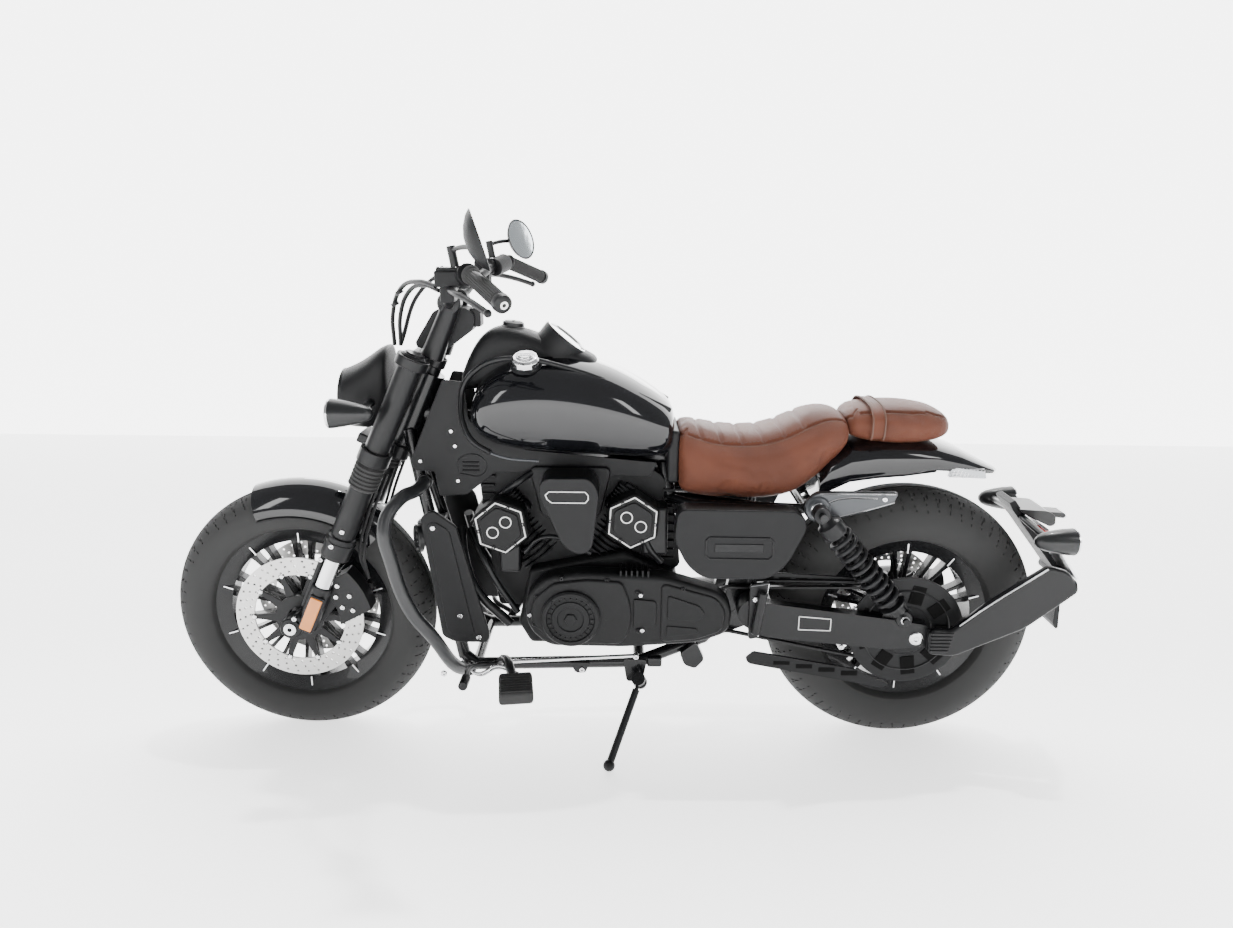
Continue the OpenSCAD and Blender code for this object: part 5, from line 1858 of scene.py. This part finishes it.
    def make_exhaust(self) -> None:
        """Bends the headers into the long silencer with its end caps."""
        pipes = Shape().tube([(1059, -40, 563), (1072, -50, 520), (1030, -120, 450), (1000, -174, 390),
                              (920, -188, 300), (780, -200, 262), (566, -216, 266)], 20, 24, resolution=10)
        pipes.tube([(608, -50, 584), (592, -100, 540), (590, -176, 470), (582, -206, 360),
                    (576, -212, 280)], 19, 24, resolution=10)
        Piece("exhaust_headers", "chassis", SATIN_BLACK, ("exhaust",), 60).make(pipes)
        place = along(self.can_from, self.can_to)
        length = (Vector(self.can_from) - Vector(self.can_to)).length
        can = Shape().turned([(0, 0), (30, 0), (44, 14), (49, 34), (50, 60), (50, length - 40),
                              (48, length - 24), (51, length - 20), (51, length - 6), (46, length),
                              (34, length + 2), (34, length + 36), (30, length + 36), (28, length - 30),
                              (0, length - 30)], place, 64)
        Piece("silencer", "chassis", SATIN_BLACK, ("exhaust",)).make(can)
        shield = Shape()
        for i in range(self.bands):
            z = self.band_from + self.band_pitch * i
            shield.turned([(50, z), (52, z + 1), (52, z + 5), (50, z + 6)], place, 64, closed=True)
        Piece("silencer_bands", "chassis", BRIGHT, (), 40).make(shield)

    def make_small_parts(self) -> None:
        """Adds the pipes beside the cylinders and the intake box between them."""
        parts = Shape().tube([(1010, 60, 640), (960, 88, 690), (900, 60, 720), (820, 40, 716)], 8, 12)
        parts.tube([(700, 66, 676), (660, 96, 600), (640, 104, 540), (610, 100, 500)], 9, 12)
        parts.tube([(1080, 40, 560), (1040, 90, 500), (1010, 96, 440), (960, 92, 360)], 8, 12)
        parts.tube([(1100, 50, 570), (1090, 80, 500), (1060, 96, 420), (980, 94, 330)], 12, 14)
        parts.tube([(940, 96, 520), (900, 104, 560), (846, 98, 556), (780, 100, 520)], 6, 12)
        parts.box((596, 40, 520), (656, 108, 640), 8)
        parts.box((950, 58, 470), (1000, 104, 540), 8)
        Piece("engine_plumbing", "chassis", SATIN_BLACK, (), 50).make(parts.mirrored())
        intake = Shape().box((770, -70, 596), (880, 70, 702), 14)
        Piece("intake_box", "chassis", MATTE_BLACK, (), 40).make(intake)


# ---------------------------------------------------------------- frame and low pieces


@dataclass
class Chassis:
    """Frame tubes, neck plates, downtube covers, guard, pegs and the stand."""

    def build(self) -> None:
        """Makes every chassis piece below the tank."""
        paint("frame", FRAME_BLACK)
        self.make_plates()
        self.make_guard()
        self.make_pegs()
        self.make_stand()

    def make_plates(self) -> None:
        """Builds the neck plates with their vents and the downtube covers."""
        neck = [(1128, 935), (1212, 740), (1204, 714), (1156, 712), (1146, 650), (1080, 655), (1010, 712),
                (640, 704), (622, 740), (760, 752), (930, 768), (1014, 786), (1070, 842), (1080, 930)]
        shape = Shape().plate(neck, 60, 66, 6, 2)
        shape.plate([(1150, 640), (1180, 620), (1140, 316), (1110, 300), (1030, 300), (1024, 320),
                     (1096, 600)], 128, 140, 10, 4, 3)
        shape.plate([(1146, 612), (1162, 604), (1126, 330), (1104, 318), (1060, 318), (1112, 590)], 136,
                    143, 10, 3)
        Piece("neck_and_downtube_plates", "chassis", MATTE_BLACK, ("downtube_covers",),
              40).make(shape.mirrored())
        vents = Shape()
        for i in range(3):
            z = 716 + 10 * i
            vents.bar((1088, 66, z), (1048, 66, z), 2.4, sides=8)
        loop = [(1096, 66, 708), (1040, 66, 708), (1036, 66, 744), (1096, 66, 744)]
        vents.tube(loop + [loop[0]], 1.6, 8)
        Piece("neck_vents", "chassis", SATIN_BLACK, (), 40).make(vents.mirrored())
        bolts = Shape().bolts(((1112, 812), (1104, 776), (1100, 690), (1188, 738)), 65.5, 5, 4)
        bolts.bolts(((1094, 372), (1150, 596), (1050, 316)), 142, 6, 4)
        Piece("plate_bolts", "chassis", BRIGHT, (), 30).make(bolts.mirrored())
        box = Shape().box((1166, 80, 534), (1196, 104, 600), 5)
        Piece("horn_relay", "chassis", ALLOY, (), 40).make(box)

    def make_guard(self) -> None:
        """Bends the engine guard and adds its clamps."""
        route = ((1178, 62, 690), (1180, 150, 692), (1204, 226, 690), (1226, 268, 650), (1212, 280, 560),
                 (1178, 280, 452), (1136, 254, 372), (1096, 190, 262), (1074, 134, 228))
        guard = Shape().tube(route, 15.5, 20, resolution=10)
        Piece("engine_guard_tube", "chassis", GUARD_GREY, ("engine_guard",), 60).make(guard.mirrored())
        clamps = Shape()
        for a, b in (((1178, 70, 690), (1178, 84, 690)), ((1080, 150, 236), (1076, 138, 231))):
            clamps.bar(a, b, 19, sides=32, edge=2)
        clamps.box((1064, 112, 214), (1100, 148, 246), 6)
        Piece("guard_clamps", "chassis", SATIN_BLACK, (), 40).make(clamps.mirrored())
        bolts = Shape()
        for x, y, z in ((1118, 240, 272), (1076, 148, 222), (1090, 148, 240)):
            bolts.bolt(x, y, z, 7, 5)
        Piece("guard_bolts", "chassis", BRIGHT, (), 30).make(bolts.mirrored())

    def make_pegs(self) -> None:
        """Builds the forward pegs, the shift linkage and the pillion pegs."""
        pegs = Shape().tube([(1010, 136, 236), (990, 160, 268), (950, 280, 284)], 11, 14)
        pegs.tube([(1010, 148, 248), (1060, 190, 262), (1064, 262, 270)], 7, 12)
        pegs.bar((1064, 252, 269), (1064, 300, 272), 11, sides=24, edge=3)
        pegs.plate([(404, 476), (356, 484), (376, 340), (402, 334)], 168, 176, 8, 2)
        pegs.bar((388, 188, 356), (374, 188, 462), 11, sides=28, edge=3)
        Piece("foot_peg_arms", "chassis", SATIN_BLACK, ("foot_controls",), 45).make(pegs.mirrored())
        place = Matrix.Translation((946, 280, 285)) @ rotated(90, "X") @ rotated(8, "Y")
        pads = Shape().box((-38, -14, -96), (38, 16, 0), 8, place)
        for i in range(8):
            pads.box((-34, 15, -90 + 11 * i), (34, 18, -85 + 11 * i), 1.2, place)
        Piece("foot_peg_pads", "chassis", GRIP, ("foot_controls",), 40).make(pads.mirrored())
        rod = Shape().bar((1000, 146, 252), (668, 136, 268), 5, sides=20)
        rod.ball((1000, 146, 252), 8)
        rod.ball((668, 136, 268), 8)
        Piece("shift_rod", "chassis", BRIGHT, ("foot_controls",), 50).make(rod)
        edges = Shape().tube([(1090, 160, 270), (1056, 176, 238), (1000, 176, 258), (952, 176, 238)], 3, 10)
        edges.tube([(1084, 156, 262), (1052, 172, 230), (1000, 172, 249), (956, 172, 231)], 3, 10)
        Piece("shift_guard_strips", "chassis", BRIGHT, (), 50).make(edges)
        rims = Shape().tube([(402, 177, 472), (360, 177, 479), (379, 177, 344)], 1.6, 8, smooth=False)
        Piece("pillion_plate_edges", "chassis", BRIGHT, (), 50).make(rims.mirrored())
        bolts = Shape()
        for x, y, z in ((800, 142, 232), (1004, 150, 240), (390, 177, 440), (384, 177, 368), (668, 142, 268)):
            bolts.bolt(x, y, z, 6.5, 5)
        Piece("control_bolts", "chassis", BRIGHT, (), 30).make(bolts)
        lugs = Shape().box((604, 118, 236), (640, 136, 262), 5)
        lugs.plate([(520, 300), (560, 268), (548, 236), (520, 226), (498, 252)], 100, 124, 8, 3)
        lugs.plate([(700, 258), (640, 256), (650, 200), (690, 196)], 128, 136, 8, 2)
        lugs.plate([(830, 250), (780, 250), (792, 222), (816, 222)], 112, 142, 6, 2)
        Piece("frame_lugs", "chassis", FRAME_BLACK, (), 40).make(lugs)

    def make_stand(self) -> None:
        """Copies the stand with rounded edges."""
        refined("side_stand", "side_stand", SATIN_BLACK, 1.2, "side_stand_leg")


# ---------------------------------------------------------------- rear end


@dataclass
class RearEnd:
    """Swingarm, shocks, belt drive, guards, caliper, plate arm and rear lights."""

    shock_top: Point = (255, 192, 658)
    shock_low: Point = (47, 192, 407)
    coil_r: float = 27
    wire_r: float = 5.6
    coil_turns: float = 10.5
    coil_steps: int = 8

    def build(self) -> None:
        """Makes every piece of the rear end."""
        refined("swingarm", "chassis", SATIN_BLACK, 5, "swingarm_body")
        self.make_shocks()
        self.make_drive()
        self.make_arm()
        self.make_lights()
        self.make_bright()
        refined("rear_caliper", "chassis", SATIN_BLACK, 4, "rear_caliper_body")
        paint("rear_axle", BRIGHT)

    def make_shocks(self) -> None:
        """Winds the springs round the dampers."""
        place = along(self.shock_low, self.shock_top)
        length = (Vector(self.shock_top) - Vector(self.shock_low)).length
        body = Shape().turned([(0, 14), (18, 14), (20, 18), (20, 34), (31, 36), (32, 42), (20, 46),
                               (19, 150), (11, 152), (11, length - 66), (27, length - 62),
                               (29, length - 56), (29, length - 30), (20, length - 24), (16, length - 14),
                               (0, length - 14)], place, 40)
        for point in (self.shock_low, self.shock_top):
            body.turned([(8, -16), (18, -16), (20, -13), (20, 13), (18, 16), (8, 16)], facing_left(*point),
                        36, closed=True)
        Piece("shock_bodies", "chassis", SATIN_BLACK, ("shock_absorbers",), 40).make(body.mirrored())
        spring = Shape()
        start, end = 48, length - 62
        count = int(self.coil_turns * self.coil_steps)
        route = []
        for i in range(count + 1):
            a = math.tau * self.coil_turns * i / count
            height = start + (end - start) * (i / count)
            route.append((self.coil_r * math.cos(a), self.coil_r * math.sin(a), height))
        spring.tube(route, self.wire_r, 12, resolution=3, place=place)
        Piece("shock_springs", "chassis", SATIN_BLACK, ("shock_absorbers",), 60).make(spring.mirrored())

    def make_drive(self) -> None:
        """Finishes the belt, the pulley and the guards."""
        refined("drive_belt", "chassis", HOSE, 0.8, "drive_belt_band")
        refined("rear_pulley", "rear_wheel", ENGINE_BLACK, 1.5, "rear_pulley_body")
        guards = Shape().plate([(392, 486), (360, 490), (130, 478), (122, 462), (360, 468), (392, 464)],
                               126, 133, 4, 2)
        guards.plate([(400, 262), (380, 280), (130, 236), (40, 196), (60, 186), (160, 206), (390, 248)],
                     126, 133, 6, 2)
        guards.box((150, 128, 470), (386, 142, 474), 1.5)
        centre = facing_left(14, 0, AXLE_Z + 4)
        guards.turned([(24, 127), (24, 131), (60, 134), (64, 131), (100, 131), (128, 134), (138, 132),
                       (138, 127)], centre, 96, closed=True)
        Piece("belt_guard_panels", "chassis", MATTE_BLACK, ("belt_guards",)).make(guards)
        # The slots are thin near-black boxes in the painted-shade finish: painted shade where the guard's
        # openings are, not cut holes.
        slots = Shape()
        for angle in (18, 58, 98, 138, 178, 218, 258, 298, 338):
            turn = centre @ rotated(angle, "Z")
            slots.box((70, -17, 131.6), (118, 17, 133.4), 0.8, turn)
        for i in range(6):
            x = 370 - 40 * i
            slots.box((x - 28, 132.6, 474 - 1.6 * i), (x, 133.6, 480 - 1.6 * i), 0.4)
        for i in range(4):
            x = 330 - 56 * i
            slots.box((x - 40, 132.6, 246 - 9 * i), (x, 133.6, 256 - 8 * i), 0.4)
        Piece("belt_guard_slot_shade", "chassis", PAINTED_SHADE, (), 40).make(slots)
        rims = Shape().turned([(102, 133), (104, 134.5), (106, 133.5), (104, 131)], centre, 96, closed=True)
        Piece("belt_guard_ring", "chassis", SATIN_BLACK, (), 40).make(rims)

    def make_arm(self) -> None:
        """Builds the swept plate arm, its tube, the plate and the flap."""
        outline = [(-24, 372), (-75, 368), (-152, 441), (-280, 535), (-330, 522), (-362, 474), (-327, 444),
                   (-246, 376), (-88, 302), (-24, 306)]
        arm = Shape().plate(outline, 170, 190, 14, 8, 4)
        arm.plate([(-24, 366), (-60, 366), (-60, 312), (-24, 312)], 164, 172, 4, 2)
        for i in range(6):
            z = 316 + 9 * i
            arm.box((-70 - 2 * i, 188, z), (-26, 193, z + 4), 1.5)
        arm.tube([(-338, 184, 488), (-366, 120, 470), (-392, 50, 452), (-392, 0, 452), (-392, -52, 452)],
                 15, 16)
        Piece("plate_arm", "chassis", SATIN_BLACK, ("plate_bracket",), 38).make(arm)
        carrier = Shape().plate([(-386, 450), (-396, 456), (-252, 648), (-238, 640), (-250, 620)], -42, 42,
                                3, 2)
        carrier.plate([(-388, 440), (-396, 440), (-404, 310), (-398, 306), (-390, 320)], -42, 42, 2, 1.5)
        for i in range(5):
            z = 330 + 22 * i
            carrier.box((-405, -36, z), (-396, 36, z + 6), 1.2)
        Piece("plate_carrier", "chassis", MATTE_BLACK, ("plate_bracket",), 40).make(carrier)
        plate = Shape().plate([(-402, 462), (-405, 466), (-316, 592), (-313, 588)], -95, 95, 0, 1)
        Piece("blank_number_plate", "chassis", MACHINED, ("plate_bracket",), 40).make(plate)

    def make_lights(self) -> None:
        """Builds the tail light, the bullet signals and the reflectors."""
        shell = Shape().plate([(-258, 628), (-278, 612), (-340, 584), (-352, 590), (-350, 612),
                               (-330, 624)], -52, 52, 6, 5, 3)
        shell.plate([(-351, 600), (-386, 596), (-392, 602), (-386, 610), (-350, 612)], -22, 22, 2, 2)
        shell.bar((-272, 42, 606), (-282, 150, 592), 8, sides=20)
        shell.bar((-272, -42, 606), (-282, -150, 592), 8, sides=20)
        Piece("tail_light_shell", "chassis", LAMP_SHELL, ("rear_lights",), 40).make(shell)
        lens = Shape().box((-353, -44, 588), (-340, 44, 610), 4)
        Piece("tail_light_lens", "chassis", RED, (), 40).make(lens)
        back = Matrix.Translation((-338, 165, 588)) @ rotated(-90, "Y")
        shells = Shape().turned([(0, -88), (8, -86), (15, -80), (21, -68), (26, -48), (30, -26), (32, 0),
                                 (30, 2), (0, 2)], back, 40)
        Piece("rear_signal_shells", "chassis", LAMP_SHELL, ("rear_lights",), 40).make(shells.mirrored())
        rings = Shape().turned([(31.8, 0), (32, 3), (30, 5), (27, 5), (27, 0)], back, 40, closed=True)
        Piece("rear_signal_rings", "chassis", BRIGHT, (), 40).make(rings.mirrored())
        caps = Shape().turned([(27.5, 3), (22, 5), (12, 6), (0, 6), (0, 0), (27.5, 0)], back, 40)
        Piece("rear_signal_lenses", "chassis", SMOKED, (), 40).make(caps.mirrored())
        dot = Shape().turned([(0, 12), (9, 12), (12, 9), (12, 0), (0, 0)], facing_left(-309, 100, 580), 28)
        dot.bar((-309, 50, 584), (-309, 102, 580), 5, sides=12)
        Piece("side_reflectors", "chassis", RED, (), 40).make(dot.mirrored())

    def make_bright(self) -> None:
        """Adds bolts, the arm's bright edge and the blank label."""
        bolts = Shape().socket_head(facing_left(0, 167, AXLE_Z), 15, 5)
        bolts.bolt(47, 208, 407, 10, 9)
        bolts.bolt(166, 133, 296, 6, 4)
        bolts.bolt(142, 134, 400, 6, 4)
        bolts.bolt(389, 167, 396, 14, 5)
        Piece("rear_bolts", "chassis", BRIGHT, (), 30).make(bolts)
        edge = Shape().tube([(-90, 190.5, 384), (-152, 190.5, 436), (-278, 190.5, 529)], 1.8, 8)
        Piece("plate_arm_edge", "chassis", MACHINED, (), 50).make(edge)
        ring = [(282, 166.6, 392), (206, 166.6, 386), (206, 166.6, 356), (282, 166.6, 358)]
        label = Shape().loop(ring, 1.2, 6)
        Piece("swingarm_label_frame", "chassis", WHITE_LINE, (), 50).make(label)


# ---------------------------------------------------------------- studio


@dataclass
class Studio:
    """Pale floor, soft lights and the camera on the bike's left."""

    eye: Point = (-0.0063, 2.0868, 0.8784)
    yaw: float = 0.0052
    pitch: float = 0.0823
    roll: float = -0.0102
    lens: float = 25.098
    key: float = 11
    fill: float = 0.55
    floor_glow: float = 1.7
    wall_glow: float = 4.1
    floor_half: float = 60
    wall_half: float = 40
    wall_at: Point = (0, -14, 20)
    sun_width: float = 5
    sun_from: Point = (-0.14, -0.26, 1)
    aim: Point = (0, 0, 0.6)
    banks: tuple[tuple[str, Point, Flat, float], ...] = (
        ("left_bank", (-2.6, 3.4, 2.6), (0.5, 2.2), 40), ("right_bank", (2.8, 3.2, 2.2), (0.5, 2.2), 36),
        ("back_bank", (0.4, -3.8, 2.4), (3.5, 1.0), 60))

    def build(self) -> None:
        """Makes the camera, the floor and the lights."""
        self.make_camera()
        self.make_floor()
        self.make_lights()

    def make_camera(self) -> None:
        """Points the camera across the bike."""
        ahead = Vector((math.sin(self.yaw) * math.cos(self.pitch), -math.cos(self.yaw)
                        * math.cos(self.pitch), -math.sin(self.pitch)))
        right = ahead.cross(Vector((0, 0, 1))).normalized()
        up = right.cross(ahead)
        turn = Matrix.Rotation(self.roll, 3, ahead)
        right, up = turn @ right, turn @ up
        data = bpy.data.cameras.new("camera")
        data.lens = self.lens
        data.sensor_width = 36
        camera = linked("camera", data)
        basis = Matrix((right, up, -ahead)).transposed().to_4x4()
        camera.matrix_world = Matrix.Translation(self.eye) @ basis
        bpy.context.scene.camera = camera

    def make_floor(self) -> None:
        """Lays the floor and sets the pale surroundings."""
        shade = Shader("studio_floor")
        tone = shade.blend(shade.noise(0.8, 2), (0.84, 0.84, 0.84), (0.87, 0.87, 0.87))
        shade.set(Base_Color=tone, Roughness=0.6, Emission_Strength=self.floor_glow)
        shade.set(Emission_Color=(1, 1, 1, 1))
        self.sheet("floor", self.floor_half, Matrix.Identity(4), shade)
        wall = Shader("studio_wall")
        wall.set(Base_Color=(0.8, 0.8, 0.8, 1), Emission_Color=(1, 1, 1, 1), Emission_Strength=self.wall_glow)
        upright = Matrix.Translation(self.wall_at) @ rotated(90, "X")
        self.sheet("backdrop", self.wall_half, upright, wall)
        world = bpy.data.worlds.new("studio")
        world.use_nodes = True
        world.node_tree.nodes["Background"].inputs["Color"].default_value = (0.95, 0.96, 0.97, 1)
        world.node_tree.nodes["Background"].inputs["Strength"].default_value = self.fill
        bpy.context.scene.world = world

    def sheet(self, name: str, size: float, place: Matrix, shader: Shader) -> None:
        """Lays one large square of the studio."""
        part = bmesh.new()
        bmesh.ops.create_grid(part, x_segments=2, y_segments=2, size=size)
        bmesh.ops.transform(part, matrix=place, verts=part.verts)
        data = as_mesh(name, part)
        data.materials.append(shader.material)
        linked(name, data)

    def make_lights(self) -> None:
        """Sets the soft key light from behind and above, and the fill banks."""
        sun = bpy.data.lights.new("key", "SUN")
        sun.energy = self.key
        sun.angle = math.radians(self.sun_width)
        thing = linked("key", sun)
        thing.matrix_world = Vector(self.sun_from).to_track_quat("Z", "Y").to_matrix().to_4x4()
        for bank in self.banks:
            self.area(*bank)

    def area(self, name: str, at: Point, size: Flat, power: float) -> None:
        """Hangs one rectangular light, aimed at the bike."""
        light = bpy.data.lights.new(name, "AREA")
        light.shape = "RECTANGLE"
        light.size, light.size_y = size
        light.energy = power
        thing = linked(name, light)
        way = (Vector(at) - Vector(self.aim)).to_track_quat("Z", "Y").to_matrix().to_4x4()
        thing.matrix_world = Matrix.Translation(at) @ way


def main() -> None:
    """Builds the studio and every sub-assembly."""
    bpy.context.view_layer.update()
    Studio().build()
    Wheel("front", True, 328, 64, 230.5, 44, 42, 60).build()
    Wheel("rear", False, 336.5, 84, 216.5, 60, 48, 88).build()
    front_disc = FRONT_WHEEL @ Matrix.Translation((0, 0, 69.5))
    BrakeDisc("front_disc", "front_wheel", front_disc, ("front_discs",), 160, 46, 96, 30).build(True)
    rear_disc = REAR_WHEEL @ Matrix.Translation((0, 0, -101.5))
    BrakeDisc("rear_disc", "rear_wheel", rear_disc, ("rear_disc",), 132, 38, 80, 30).build(False)
    Tank().build()
    FRONT_SEAT.build()
    PILLION_SEAT.build()
    PillionTrim().build()
    Fenders().build()
    SideCovers().build()
    build_front()
    Engine().build()
    Chassis().build()
    RearEnd().build()


if __name__ == "__main__":
    main()
